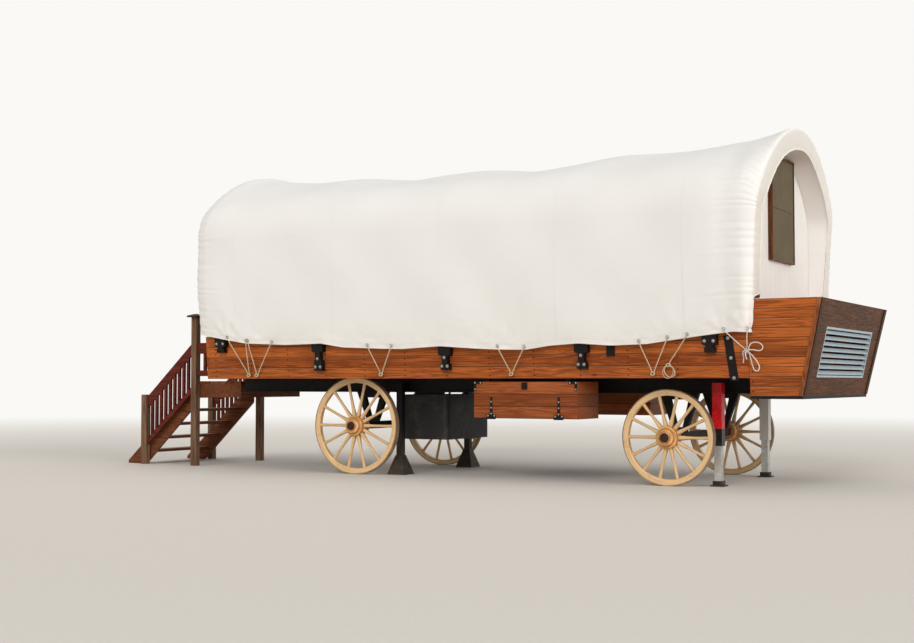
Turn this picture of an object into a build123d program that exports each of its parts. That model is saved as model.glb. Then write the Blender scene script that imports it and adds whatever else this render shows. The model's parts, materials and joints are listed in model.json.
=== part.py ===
# A covered wagon made for sleeping in: a steel underframe on two axles with spoked wood wheels,
# a plank box, a canvas bonnet over bent bows, a window wall under the front of the bonnet,
# a flared louvred box at the front, a door, porch and stair at the rear, and drop-front toolboxes.
# Millimetres. +X is forward, +Y is the left side, +Z is up. The origin is on the ground, at the
# middle of the outline. Stations are measured forward from the front axle.
from build123d import *
from math import cos, pi, radians, sin
import os

os.makedirs("parts", exist_ok=True)

# Driving dimensions: wheels and axles
REAR_WHEEL_D = 1220
FRONT_WHEEL_D = 1080
WHEELBASE = 4160
TRACK = 2300            # over the outer faces of the rims
SPOKES = 14
RIM_W = 72
TYRE_T = 10
FELLOE_DEPTH = 62
NAVE_D = 250
SPINDLE_D = 64
SPINDLE_PLAY = 0.5
AXLE_BAR = 90

# Driving dimensions: box
BOX_REAR = -6250        # stations of the box's two ends
BOX_FRONT = 1040
BOARD_T = 40
BOARD_BOTTOM_Z = 1200
BOARD_TOP_Z = 1750
BOARD_OUT_BOTTOM = 1440  # half width over the boards at their bottom edge
BOARD_LEAN = 50 / 550    # how far the boards lean out, for each mm up
PLANKS = 4
GROOVE = 7
STRAP_W = 95
STRAP_HEAD_STATION = 815
STRAP_FOOT_STATION = 875
RAIL_Z = (1030, 1235)
RAIL_Y = 720
JOIST_H = 40
JOISTS = 11             # between the two end joists
DECK_T = 30

# Driving dimensions: bonnet
CANVAS_T = 20
BULGE_Y = 1650          # half width of the canvas at its widest
BULGE_Z = 3000
SKIRT_Y = 1556          # half width of the canvas at the board
SKIRT_Z = 1400
SHOULDER_R = 650
RIDGE = (               # station, height of the crown: the canvas sags between its bows
    (-6000, 3960),
    (-5300, 3890),
    (-4470, 3890),
    (-3620, 3805),
    (-2645, 3860),
    (-1800, 3785),
    (-875, 3905),
    (-100, 3895),
    (630, 3945),
    (1030, 3998),
)
REAR_END = (            # foot station, lean in degrees, height of the crown, how far drawn in
    (-6000, 0, 3960, 0),
    (-6200, 0, 4030, 10),
    (-6320, 0, 4060, 38),
    (-6370, 0, 4065, 72),
)
FRONT_END = (
    (1030, 0, 3998, 0),
    (1054, 2.6, 4062, 18),
    (1071, 3.7, 4120, 48),
    (1082, 4.2, 4148, 80),
)
LIP_IN = (170, 315)     # width of the drawn-in lip at the rear and at the front
LIP_STEP_Z = (2060, 2180)   # where the front lip steps out to pass beside the front box
LIP_STEP_Y = 1530
HEM = ((-6400, 1783), (-2300, 1550), (1140, 1702))   # station and height along its curve

# Driving dimensions: bows, and the iron pockets on the side boards that hold their feet
BOW_W = 60
BOW_T = 38
BOW_GAP = 10
BOWS = (                # station, foot and top of its pocket
    (-6000, 1540, 1745),
    (-4470, 1300, 1665),
    (-2645, 1300, 1610),
    (-875, 1310, 1620),
    (630, 1480, 1690),
)
FRONT_BOW = (1000, 1700)     # station and height of its feet
POCKET_T = 5
POCKET_HEAD = (165, 125)     # width and height of a pocket's head, and of its foot
POCKET_FOOT = (115, 60)
CATCH_STATION = -540
CATCH_Z = (1450, 1585)

# Driving dimensions: end walls, window and door
WALL_T = 60
WALL_INSET = 72         # from the canvas's outer skin to the wall's edge
FRONT_WALL_STATION = 930
REAR_WALL_STATION = -6215
WINDOW_W = 900
WINDOW_Z = (2545, 3760)
SURROUND_W = 30         # window frame, and each of its two sashes
SASH_W = 28
DOOR_W = 760
DOOR_H = 1990
DOOR_T = 45
DOOR_GAP = 6
FRAME_W = 55

# Driving dimensions: flared front box
FLARE_BOTTOM = (1605, 1010)   # station and height of its lower front edge
FLARE_TOP = (1835, 2040)
FLARE_PLANKS = 10
LOUVRE_Z = (1210, 1750)
LOUVRE_HALF_W = 1050
SLATS = 8

# Driving dimensions: toolboxes
TOOLBOX_STATIONS = (-2300, -970)
TOOLBOX_Z = (735, 1165)
TOOLBOX_DEPTH = 600
TOOLBOX_WALL = 25

# Driving dimensions: porch and stair
PORCH_TOP_Z = 1170
PORCH_END = -7130
PORCH_BACK = -6330
NEWEL = 90
NEWEL_Y = 735
NEWEL_TOP_Z = 2060
NEWEL_CAP = 180
STAIR_FOOT = -8365
FOOT_NEWEL = 380        # from the stair's foot to the middle of its newels
STAIR_Y = 660           # half width over the stringers
TREADS = 5
PLANK2 = 38
RAIL_TOP_Z = (1700, 950)     # handrail height at the porch and at the foot
RAIL_DEPTH = 150
LOW_RAIL_DROP = (600, 380)   # from the handrail's top to the low rail's, flight and landing
LOW_RAIL_DEPTH = 80
BALUSTER = 38
BALUSTERS = 9           # in each side of the flight
PORCH_BALUSTERS = 5     # in each side of the landing

# Driving dimensions: front legs, rear stands and tank
LEG_STATION = 505
STAND_STATION = -3650
LEG_Y = 880
LEG_SLEEVE = 110
LEG_TUBE = 80
LEG_SPLIT_Z = 450
LEG_FOOT_H = 60
STAND_FOOT = 250
STAND_FOOT_H = 240
TANK_STATIONS = (-3880, -3150)
TANK_HALF_W = 560
TANK_Z = (430, 1000)

# Worked out from the above
ORIGIN = (STAIR_FOOT + FLARE_TOP[0]) / 2
DECK_Z = RAIL_Z[1] + JOIST_H
FLOOR_Z = DECK_Z + DECK_T
AXLES = {"front": (0, FRONT_WHEEL_D), "rear": (-WHEELBASE, REAR_WHEEL_D)}
WHEEL_Y = (TRACK - RIM_W) / 2
SIDES = {"right": -1, "left": 1}


def at(station):
    """X of a station."""
    return station - ORIGIN


def block(x, y, z):
    """A box from its lowest and highest X, Y and Z."""
    size = (x[1] - x[0], y[1] - y[0], z[1] - z[0])
    middle = ((x[0] + x[1]) / 2, (y[0] + y[1]) / 2, (z[0] + z[1]) / 2)
    return Pos(*middle) * Box(*size)


def prism_y(points, y_low, y_high):
    """An outline of (x, z) points, made solid from y_low to y_high."""
    face = make_face(Polyline([(x, y_low, z) for x, z in points], close=True))
    return extrude(face, amount=y_high - y_low, dir=(0, 1, 0))


def prism_x(points, x_low, x_high):
    """An outline of (y, z) points, made solid from x_low to x_high."""
    face = make_face(Polyline([(x_low, y, z) for y, z in points], close=True))
    return extrude(face, amount=x_high - x_low, dir=(1, 0, 0))


def rod(start, end, radius):
    """A round bar between two points."""
    path = Vector(*end) - Vector(*start)
    return Plane(start, z_dir=path) * Cylinder(
        radius, path.length, align=(Align.CENTER, Align.CENTER, Align.MIN))


def bar(start, end, width, height):
    """A square-cut bar between two points in one X-Z plane: width across it, height square to it."""
    path = Vector(*end) - Vector(*start)
    return Plane(start, x_dir=(0, 1, 0), z_dir=path) * Box(
        width, height, path.length, align=(Align.CENTER, Align.CENTER, Align.MIN))


def both_sides(shape):
    """A right-hand piece and its left-hand mirror."""
    return shape, mirror(shape, about=Plane.XZ)


def write(name, *shapes):
    """One piece, or like pieces on one body, as a STEP file."""
    solids = [solid for shape in shapes for solid in shape.solids()]
    piece = solids[0] if len(solids) == 1 else Compound(children=solids)
    piece.label = name
    export_step(piece, f"parts/{name}.step")


def crown(station):
    """Height of the bonnet's ridge, between the two nearest places in its tables."""
    rear = [(place, z - drawn) for place, _, z, drawn in reversed(REAR_END)]
    ridge = [*rear, *RIDGE[1:]]
    for (s0, z0), (s1, z1) in zip(ridge, ridge[1:]):
        if s0 <= station <= s1:
            return z0 + (z1 - z0) * (station - s0) / (s1 - s0)
    return ridge[0][1]


def board_out(z):
    """Half width over the side boards at a height."""
    return BOARD_OUT_BOTTOM + (z - BOARD_BOTTOM_Z) * BOARD_LEAN


def canvas_out(z):
    """Half width over the canvas at a height below its widest, where it stands upright."""
    drop = BULGE_Z - SKIRT_Z
    inward = BULGE_Y - SKIRT_Y
    radius = (drop ** 2 + inward ** 2) / (2 * inward)
    return BULGE_Y - radius + (radius ** 2 - (BULGE_Z - z) ** 2) ** 0.5


def bow_out(z):
    """Half width over the bows at a height below their widest."""
    return canvas_out(z) - CANVAS_T - BOW_GAP


def bonnet_face(station, ridge_z, inset, foot_z=SKIRT_Z):
    """The horseshoe section: side, shoulder, crown, shoulder and side arcs, closed along its foot."""
    width = BULGE_Y - inset
    rise = ridge_z - inset - BULGE_Z
    shoulder = SHOULDER_R - inset
    top = ((width - shoulder) ** 2 + rise ** 2 - shoulder ** 2) / (2 * (rise - shoulder))
    # The shoulder and crown arcs meet on the line through their two centres
    centre = Vector(width - shoulder, BULGE_Z)
    crown_centre = Vector(0, BULGE_Z + rise - top)
    meet = crown_centre + (centre - crown_centre).normalized() * top
    turn = (meet - centre).get_angle(Vector(1, 0)) / 2
    mid = centre + Vector(cos(radians(turn)), sin(radians(turn))) * shoulder
    waist_z = (foot_z + BULGE_Z) / 2
    foot = Vector(canvas_out(foot_z) - inset, foot_z)
    waist = Vector(canvas_out(waist_z) - inset, waist_z)
    half = [foot, waist, Vector(width, BULGE_Z), mid, meet]
    left = [(at(station), p.X, p.Y) for p in half]
    right = [(at(station), -p.X, p.Y) for p in reversed(half)]
    ridge = (at(station), 0, BULGE_Z + rise)
    return make_face([
        ThreePointArc(left[0], left[1], left[2]),
        ThreePointArc(left[2], left[3], left[4]),
        ThreePointArc(left[4], ridge, right[0]),
        ThreePointArc(right[0], right[1], right[2]),
        ThreePointArc(right[2], right[3], right[4]),
        Line(right[4], left[0]),
    ])


def leaning_face(station, lean, ridge_z, inset, foot_z=SKIRT_Z):
    """A horseshoe section turned forwards about the line where the canvas ends at its foot."""
    axis = Axis((at(station), 0, HEM[-1][1]), (0, 1, 0))
    return bonnet_face(station, ridge_z, inset, foot_z).rotate(axis, lean)


# Wheels: a turned nave, tapered spokes and a bent felloe, an iron tyre, and the nave's iron bands
# Axial places run outwards from the middle of the rim
NAVE_OUTLINE = (  # along the axle, radius
    (-165, 88),
    (-60, NAVE_D / 2),
    (60, NAVE_D / 2),
    (128, 74),
)
SPOKE_ROOT_R = 27
SPOKE_TIP_R = 19
BANDS = ((-150, -120), (66, 84), (108, 128))  # along the axle, from and to


def nave_radius(along):
    """Radius of the turned nave at a place along the axle."""
    for (a0, r0), (a1, r1) in zip(NAVE_OUTLINE, NAVE_OUTLINE[1:]):
        if a0 <= along <= a1:
            return r0 + (r1 - r0) * (along - a0) / (a1 - a0)
    return NAVE_OUTLINE[-1][1]


def turned(points):
    """A ring turned about the wheel's axle, from (along, radius) points. Outwards is -Y."""
    face = make_face(Polyline([(r, -a, 0) for a, r in points], close=True))
    return revolve(face, axis=Axis.Y)


def wheel_pieces(diameter):
    """The wood wheel, its tyre and its nave bands, about the origin."""
    bore = SPINDLE_D / 2 + SPINDLE_PLAY
    rim_r = diameter / 2 - TYRE_T
    inner_r = rim_r - FELLOE_DEPTH
    half = RIM_W / 2 - 2
    ends = [(NAVE_OUTLINE[0][0], bore), *NAVE_OUTLINE, (NAVE_OUTLINE[-1][0], bore)]
    wood = turned(ends)
    corner = 12
    felloe = turned([
        (-half, rim_r), (half, rim_r), (half, inner_r + corner), (half - corner, inner_r),
        (corner - half, inner_r), (-half, inner_r + corner)])
    spoke_from = NAVE_D / 2 - 30
    length = inner_r + 12 - spoke_from
    for count in range(SPOKES):
        spoke = Pos(0, 0, spoke_from) * Cone(
            SPOKE_ROOT_R, SPOKE_TIP_R, length, align=(Align.CENTER, Align.CENTER, Align.MIN))
        wood += Rot(0, 360 * (count + 0.5) / SPOKES, 0) * spoke
    wood += felloe
    tyre = turned([
        (-RIM_W / 2, rim_r), (RIM_W / 2, rim_r), (RIM_W / 2, diameter / 2),
        (-RIM_W / 2, diameter / 2)])
    bands = []
    for low, high in BANDS:
        r_low, r_high = nave_radius(low), nave_radius(high)
        bands.append(turned([(low, r_low), (high, r_high), (high, r_high + 6), (low, r_low + 6)]))
    cap = turned([(128, 0), (128, 52), (150, 46), (158, 36), (158, 0)])
    return wood, tyre, [*bands, cap]


def make_wheels():
    for axle, (station, diameter) in AXLES.items():
        wood, tyre, iron = wheel_pieces(diameter)
        for side, sign in SIDES.items():
            turn = Rot(0, 0, 0 if sign < 0 else 180)
            place = Pos(at(station), sign * WHEEL_Y, diameter / 2) * turn
            write(f"wheel_{axle}_{side}", place * wood)
            write(f"tyre_{axle}_{side}", place * tyre)
            write(f"hub_bands_{axle}_{side}", *[place * band for band in iron])


# Underframe: two deep rolled beams, cross members, the axles and what carries them
def make_underframe():
    flange, web, edge = 100, 12, 14
    low, high = RAIL_Z
    beam = [
        (-flange / 2, low), (flange / 2, low), (flange / 2, low + edge), (web / 2, low + edge),
        (web / 2, high - edge), (flange / 2, high - edge), (flange / 2, high),
        (-flange / 2, high), (-flange / 2, high - edge), (-web / 2, high - edge),
        (-web / 2, low + edge), (-flange / 2, low + edge)]
    rear, front = BOX_REAR + 20, BOX_FRONT - 20
    rail = prism_x([(RAIL_Y + y, z) for y, z in beam], at(rear), at(front))
    write("chassis_rails", *both_sides(rail))
    members = []
    half = RAIL_Y - web / 2
    for station in (rear + 60, -4900, -2900, -1300, front - 60):
        members.append(block(
            (at(station) - 30, at(station) + 30), (-half, half), (low + edge, high - edge)))
    write("cross_members", *members)

    # The end joists are wide enough to carry the end walls as well as the deck
    deck = (
        at(REAR_WALL_STATION) + WALL_T / 2 + 2, at(FRONT_WALL_STATION) - WALL_T / 2 - 2)
    seat = 60
    joists = [
        block((at(BOX_REAR), deck[0] + seat), (-1390, 1390), (RAIL_Z[1], DECK_Z)),
        block((deck[1] - seat, at(BOX_FRONT)), (-1390, 1390), (RAIL_Z[1], DECK_Z))]
    for number in range(1, JOISTS + 1):
        x = deck[0] + (deck[1] - deck[0]) * number / (JOISTS + 1)
        joists.append(block((x - 30, x + 30), (-1390, 1390), (RAIL_Z[1], DECK_Z)))
    write("floor_joists", *joists)
    half = board_out(DECK_Z) - BOARD_T - 4
    write("floor_deck", block(deck, (-half, half), (DECK_Z, FLOOR_Z)))

    pedestals = []
    for axle, (station, diameter) in AXLES.items():
        centre_z = diameter / 2
        half = AXLE_BAR / 2
        inner = WHEEL_Y - (-NAVE_OUTLINE[0][0]) - 6
        x = at(station)
        axle_bar = block((x - half, x + half), (-inner, inner), (centre_z - half, centre_z + half))
        for sign in SIDES.values():
            tip = WHEEL_Y + NAVE_OUTLINE[-1][0] - 6
            axle_bar += rod((x, sign * inner, centre_z), (x, sign * tip, centre_z), SPINDLE_D / 2)
        write(f"axle_{axle}", axle_bar)
        top = RAIL_Z[0]
        foot = centre_z + half
        outline = [(x - 75, foot), (x + 75, foot), (x + 230, top), (x - 230, top)]
        hole = [(x - 35, foot + 60), (x + 35, foot + 60), (x + 110, top - 70), (x - 110, top - 70)]
        plate = prism_y(outline, -RAIL_Y - 35, -RAIL_Y + 35) - prism_y(
            hole, -RAIL_Y - 40, -RAIL_Y + 40)
        pedestals.extend(both_sides(plate))
    write("axle_pedestals", *pedestals)


# The tank under the floor, a plain rounded block between the rails
def make_tank():
    tank = block(
        (at(TANK_STATIONS[0]), at(TANK_STATIONS[1])), (-TANK_HALF_W, TANK_HALF_W), TANK_Z)
    write("underfloor_tank", fillet(tank.edges().filter_by(Axis.Z), 70))


# Legs: at the front a square sleeve with a narrower tube and a foot, at the rear a stand on a
# pyramid foot, each on an arm from the frame
def upright(x, size, z):
    return block((x - size / 2, x + size / 2), (-LEG_Y - size / 2, -LEG_Y + size / 2), z)


def leg_arm(x, size):
    low, high = RAIL_Z
    return block((x - size / 2, x + size / 2), (-LEG_Y, -RAIL_Y - 50), (low + 20, high - 85))


def make_legs():
    x = at(LEG_STATION)
    top = RAIL_Z[1] - 85
    sleeve = upright(x, LEG_SLEEVE, (LEG_SPLIT_Z, top)) + leg_arm(x, 80)
    write("leg_sleeves", *both_sides(sleeve))
    write("leg_tubes", *both_sides(upright(x, LEG_TUBE, (LEG_FOOT_H, LEG_SPLIT_Z))))
    foot = upright(x, LEG_TUBE + 80, (0, 14)) + upright(x, LEG_TUBE + 30, (14, LEG_FOOT_H))
    write("leg_feet", *both_sides(foot))

    x = at(STAND_STATION)
    post = upright(x, LEG_TUBE, (STAND_FOOT_H, top)) + leg_arm(x, LEG_TUBE)
    base = Pos(x, -LEG_Y, 0) * Rectangle(STAND_FOOT, STAND_FOOT)
    head = Pos(x, -LEG_Y, STAND_FOOT_H) * Rectangle(LEG_TUBE + 16, LEG_TUBE + 16)
    write("rear_stands", *both_sides(post + loft([base, head])))


# Side boards: planks with a groove between each two, leaning out towards the top
def plank_section(z_low, z_high, count):
    """Outline of a stack of planks, (half width, z), grooved on the outside."""
    outline = [(board_out(z_low), z_low)]
    for number in range(1, count):
        z = z_low + (z_high - z_low) * number / count
        outline += [
            (board_out(z - GROOVE), z - GROOVE), (board_out(z) - GROOVE, z),
            (board_out(z + GROOVE), z + GROOVE)]
    outline += [(board_out(z_high), z_high)]
    outline += [(board_out(z_high) - BOARD_T, z_high), (board_out(z_low) - BOARD_T, z_low)]
    return [(-y, z) for y, z in outline]


def make_box():
    section = plank_section(BOARD_BOTTOM_Z, BOARD_TOP_Z, PLANKS)
    board = prism_x(section, at(BOX_REAR), at(BOX_FRONT))
    for side, shape in zip(SIDES, both_sides(board)):
        write(f"side_board_{side}", shape)

    # The rear end boards stand beside the door frame, the front one goes right across
    y_in = DOOR_W / 2 + FRAME_W + 4
    low_y = board_out(BOARD_BOTTOM_Z)
    high_y = board_out(BOARD_TOP_Z)
    rear = prism_x(
        [(-y_in, BOARD_BOTTOM_Z), (-low_y, BOARD_BOTTOM_Z), (-high_y, BOARD_TOP_Z),
         (-y_in, BOARD_TOP_Z)], at(BOX_REAR) - BOARD_T, at(BOX_REAR))
    low_y = board_out(DECK_Z) - BOARD_T - 4
    high_y = board_out(BOARD_TOP_Z) - BOARD_T - 4
    front = prism_x(
        [(low_y, DECK_Z), (high_y, BOARD_TOP_Z), (-high_y, BOARD_TOP_Z), (-low_y, DECK_Z)],
        at(BOX_FRONT) - BOARD_T, at(BOX_FRONT))
    write("end_boards", *both_sides(rear), front)

    # A flat iron strap leans down each side near the front, as far as the frame
    foot, head = (STRAP_FOOT_STATION, RAIL_Z[1] - 60), (STRAP_HEAD_STATION, BOARD_TOP_Z - 90)
    half = STRAP_W / 2
    skin = [(-board_out(z) - reach, z) for z, reach in (
        (foot[1], 0), (foot[1], 6), (head[1], 6), (head[1], 0))]
    outline = [
        (at(foot[0]) - half, foot[1]), (at(foot[0]) + half, foot[1]),
        (at(head[0]) + half, head[1]), (at(head[0]) - half, head[1])]
    strap = prism_x(skin, at(head[0]) - STRAP_W, at(foot[0]) + STRAP_W) & prism_y(
        outline, -1600, -1400)
    write("side_straps", *both_sides(strap))


# Bonnet: canvas over the bows, drawn in at both ends to a lip, and cut to the curve of its hem
def bonnet_solid(inset, foot_z):
    """The room inside the canvas's outer skin, or inside its inner skin."""
    rows = [*reversed(REAR_END), *[(station, 0, z, 0) for station, z in RIDGE[1:-1]], *FRONT_END]
    return loft(
        [leaning_face(station, lean, z, inset + drawn, foot_z) for station, lean, z, drawn in rows],
        ruled=True)


def make_bonnet():
    bonnet = bonnet_solid(0, SKIRT_Z) - bonnet_solid(CANVAS_T, SKIRT_Z - 60)
    # Each lip is a flat ring that stands in the end section
    for end, lip, forward in ((REAR_END, LIP_IN[0], 1), (FRONT_END, LIP_IN[1], -1)):
        station, lean, z, drawn = end[-1]
        ring = bonnet_face(station, z, drawn) - bonnet_face(station, z, lip, SKIRT_Z - 60)
        if forward < 0:
            low, high = LIP_STEP_Z
            foot = SKIRT_Z - 60
            inner = canvas_out(high) - lip
            step = [
                (LIP_STEP_Y, foot), (LIP_STEP_Y, low), (inner, high), (-inner, high),
                (-LIP_STEP_Y, low), (-LIP_STEP_Y, foot)]
            ring -= make_face(Polyline([(at(station), y, z) for y, z in step], close=True))
        axis = Axis((at(station), 0, HEM[-1][1]), (0, 1, 0))
        plate = extrude(ring, amount=CANVAS_T, dir=(forward, 0, 0)).rotate(axis, lean)
        bonnet += plate
    y = -2000
    hem = [(at(station), y, z) for station, z in HEM]
    high = 4400
    edges = [
        ThreePointArc(*hem),
        Polyline([hem[-1], (hem[-1][0] + 300, y, high), (hem[0][0], y, high), hem[0]])]
    keep = extrude(make_face(edges), amount=-2 * y, dir=(0, 1, 0))
    write("bonnet", bonnet & keep)


def bow(station, foot_z):
    rear = station - BOW_W / 2
    inset = CANVAS_T + BOW_GAP
    ridge_z = min(crown(rear), crown(rear + BOW_W))
    outer = bonnet_face(rear, ridge_z, inset, foot_z)
    inner = bonnet_face(rear, ridge_z, inset + BOW_T, foot_z - 10)
    return extrude(outer, amount=BOW_W, dir=(1, 0, 0)) - extrude(
        inner, amount=BOW_W, dir=(1, 0, 0))


def pocket(station, foot, top):
    """A casting on the board, broad at its head and foot, hollowed to take the bow's foot."""
    x = at(station)
    case = [
        (-board_out(foot), foot), (-board_out(top), top),
        (-bow_out(top) - 2 - POCKET_T, top), (-bow_out(foot) - 2 - POCKET_T, foot)]
    head_w, head_h = POCKET_HEAD
    foot_w, foot_h = POCKET_FOOT
    foot_top = max(foot + foot_h, top - head_h - 100)
    neck = BOW_W / 2 + 1 + POCKET_T
    half = [
        (foot_w / 2, foot), (foot_w / 2, foot_top - 15), (neck, foot_top),
        (neck, top - head_h - 15), (head_w / 2, top - head_h), (head_w / 2, top)]
    outline = [(x + w, z) for w, z in half] + [(x - w, z) for w, z in reversed(half)]
    body = prism_x(case, x - head_w, x + head_w) & prism_y(outline, -1800, -1300)
    floor = foot + POCKET_T
    room = [
        (-board_out(floor) - POCKET_T, floor), (-board_out(top) - POCKET_T, top + 5),
        (-bow_out(top) - 2, top + 5), (-bow_out(floor) - 2, floor)]
    return body - prism_x(room, x - BOW_W / 2 - 1, x + BOW_W / 2 + 1)


def make_bows():
    bows = [bow(station, foot + POCKET_T + 2) for station, foot, _ in BOWS]
    irons = [pocket(*row) for row in BOWS]
    # The front bow stands off the board on a block, and a small catch hangs beside one pocket
    station, foot = FRONT_BOW
    bows.append(bow(station, foot))
    seat_z = (foot, BOARD_TOP_Z - 5)
    seat = [
        (-board_out(seat_z[0]), seat_z[0]), (-board_out(seat_z[1]), seat_z[1]),
        (-bow_out(seat_z[1]) + BOW_T, seat_z[1]), (-bow_out(seat_z[0]) + BOW_T, seat_z[0])]
    irons.append(prism_x(seat, at(station) - BOW_W / 2, at(station) + BOW_W / 2))
    catch = [(-board_out(z) - reach, z) for z, reach in (
        (CATCH_Z[0], 0), (CATCH_Z[0], 22), (CATCH_Z[1], 12), (CATCH_Z[1], 0))]
    irons.append(prism_x(catch, at(CATCH_STATION) - 48, at(CATCH_STATION) + 48))
    write("bows", *bows)
    write("bow_pockets", *irons, *[mirror(iron, about=Plane.XZ) for iron in irons])


# End walls: flat panels that fill the bonnet, with the window and the door cut through
def wall_panel(station):
    rear = station - WALL_T / 2
    panel = extrude(
        bonnet_face(rear, crown(rear), WALL_INSET, DECK_Z), amount=WALL_T, dir=(1, 0, 0))
    reach = 60
    for sign in SIDES.values():
        low_y = board_out(DECK_Z) - BOARD_T - 4
        high_y = board_out(BOARD_TOP_Z) - BOARD_T - 4
        outline = [
            (sign * low_y, DECK_Z - 1), (sign * high_y, BOARD_TOP_Z + 4),
            (sign * 1800, BOARD_TOP_Z + 4), (sign * 1800, DECK_Z - 1)]
        panel -= prism_x(outline, at(station) - reach, at(station) + reach)
    return panel


def frame_ring(x, half_w, z, depth, width):
    """A rectangular frame standing square to X, with its bottom rail."""
    ring = block((x - depth / 2, x + depth / 2), (-half_w, half_w), z)
    return ring - block(
        (x - depth, x + depth), (width - half_w, half_w - width), (z[0] + width, z[1] - width))


def make_window():
    station = FRONT_WALL_STATION
    wall = wall_panel(station)
    x = at(station)
    half = WINDOW_W / 2
    low, high = WINDOW_Z
    wall -= block((x - 100, x + 100), (-half, half), (low, high))
    write("front_wall", wall)
    frame = frame_ring(x, half, WINDOW_Z, 80, SURROUND_W)
    clear = half - SURROUND_W
    meet = (low + high) / 2
    sashes = ((12, (meet - SASH_W / 2, high - SURROUND_W)), (-20, (low + SURROUND_W, meet + SASH_W / 2)))
    for shift, z in sashes:
        frame += frame_ring(x + shift, clear, z, 30, SASH_W)
    write("window_frame", frame)
    panes = []
    for shift, z in sashes:
        panes.append(block(
            (x + shift - 3, x + shift + 3), (SASH_W - clear, clear - SASH_W),
            (z[0] + SASH_W, z[1] - SASH_W)))
    write("window_glass", *panes)


def make_door():
    x = at(REAR_WALL_STATION)
    half = DOOR_W / 2
    head = FLOOR_Z + DOOR_H + 2 * DOOR_GAP
    transom_h = 190
    frame_top = head + FRAME_W + transom_h + FRAME_W
    outer = half + FRAME_W
    wall = wall_panel(REAR_WALL_STATION)
    wall -= block((x - 100, x + 100), (-outer, outer), (DECK_Z - 1, frame_top))
    write("rear_wall", wall)

    rear_face = at(BOX_REAR) - BOARD_T - 10
    front_face = x + WALL_T / 2
    frame = block((rear_face, front_face), (-outer, outer), (DECK_Z, frame_top))
    frame -= block((rear_face - 5, front_face + 5), (-half, half), (FLOOR_Z, head))
    frame -= block(
        (rear_face - 5, front_face + 5), (-half, half), (head + FRAME_W, frame_top - FRAME_W))
    # A stop behind the closed door
    stop_x = rear_face + DOOR_T + 15
    stop = block((stop_x, stop_x + 20), (-half, half), (FLOOR_Z, head)) - block(
        (stop_x - 5, stop_x + 25), (15 - half, half - 15), (FLOOR_Z - 5, head - 15))
    write("door_frame", frame + stop)
    pane_x = rear_face + 40
    write("transom_glass", block(
        (pane_x, pane_x + 8), (-half, half), (head + FRAME_W, frame_top - FRAME_W)))

    # The door: stiles and rails around a panel, with a two-pane light near the top
    door_x = (rear_face + 6, rear_face + 6 + DOOR_T)
    door_z = (FLOOR_Z + DOOR_GAP, FLOOR_Z + DOOR_GAP + DOOR_H)
    door_y = (DOOR_GAP - half, half - DOOR_GAP)
    door = block(door_x, door_y, door_z)
    light_z = (door_z[1] - 620, door_z[1] - 130)
    light_half = 215
    for pane in ((-light_half, -15), (15, light_half)):
        door -= block((door_x[0] - 5, door_x[1] + 5), pane, light_z)
    for z in ((door_z[0] + 180, door_z[0] + 600), (door_z[0] + 700, light_z[0] - 130)):
        door -= block((door_x[0] - 1, door_x[0] + 10), (-light_half, light_half), z)
    write("door", door)
    glass_x = (door_x[0] + door_x[1]) / 2
    write("door_glass", *[
        block((glass_x - 3, glass_x + 3), pane, light_z) for pane in ((-light_half, -15), (15, light_half))])

    # Handle on the latch side, and the hinge leaves and knuckles on the other
    latch_y = door_y[0] + 60
    handle_z = door_z[0] + 980
    face = door_x[0]
    plate = block((face - 6, face), (latch_y - 22, latch_y + 22), (handle_z - 90, handle_z + 60))
    neck = rod((face - 3, latch_y, handle_z), (face - 50, latch_y, handle_z), 9)
    lever = rod((face - 50, latch_y - 14, handle_z), (face - 50, latch_y + 110, handle_z), 11)
    hardware = [plate + neck + lever]
    pin_x, pin_y = hinge_pin()
    for share in (0.1, 0.5, 0.9):
        z = door_z[0] + DOOR_H * share
        knuckle = Pos(pin_x, pin_y, z) * Cylinder(9, 100)
        leaf = block((face - 4, face), (door_y[1] - 60, door_y[1] - 1), (z - 50, z + 50))
        web = block((pin_x - 4, face), (door_y[1] - 14, pin_y), (z - 50, z + 50))
        hardware.append(knuckle + leaf + web)
    write("door_hardware", *hardware)


def hinge_pin():
    """X and Y of the door's hinge pins, on the outside of the frame's left jamb."""
    return at(BOX_REAR) - BOARD_T - 10 - 12, DOOR_W / 2 - DOOR_GAP + 4


# Flared front box: plank sides that carry on the slant of the side boards, and a louvred front
def flare_x(z):
    """X of the front box's leaning front face."""
    slope = (FLARE_TOP[0] - FLARE_BOTTOM[0]) / (FLARE_TOP[1] - FLARE_BOTTOM[1])
    return at(FLARE_BOTTOM[0] + slope * (z - FLARE_BOTTOM[1]))


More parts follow.
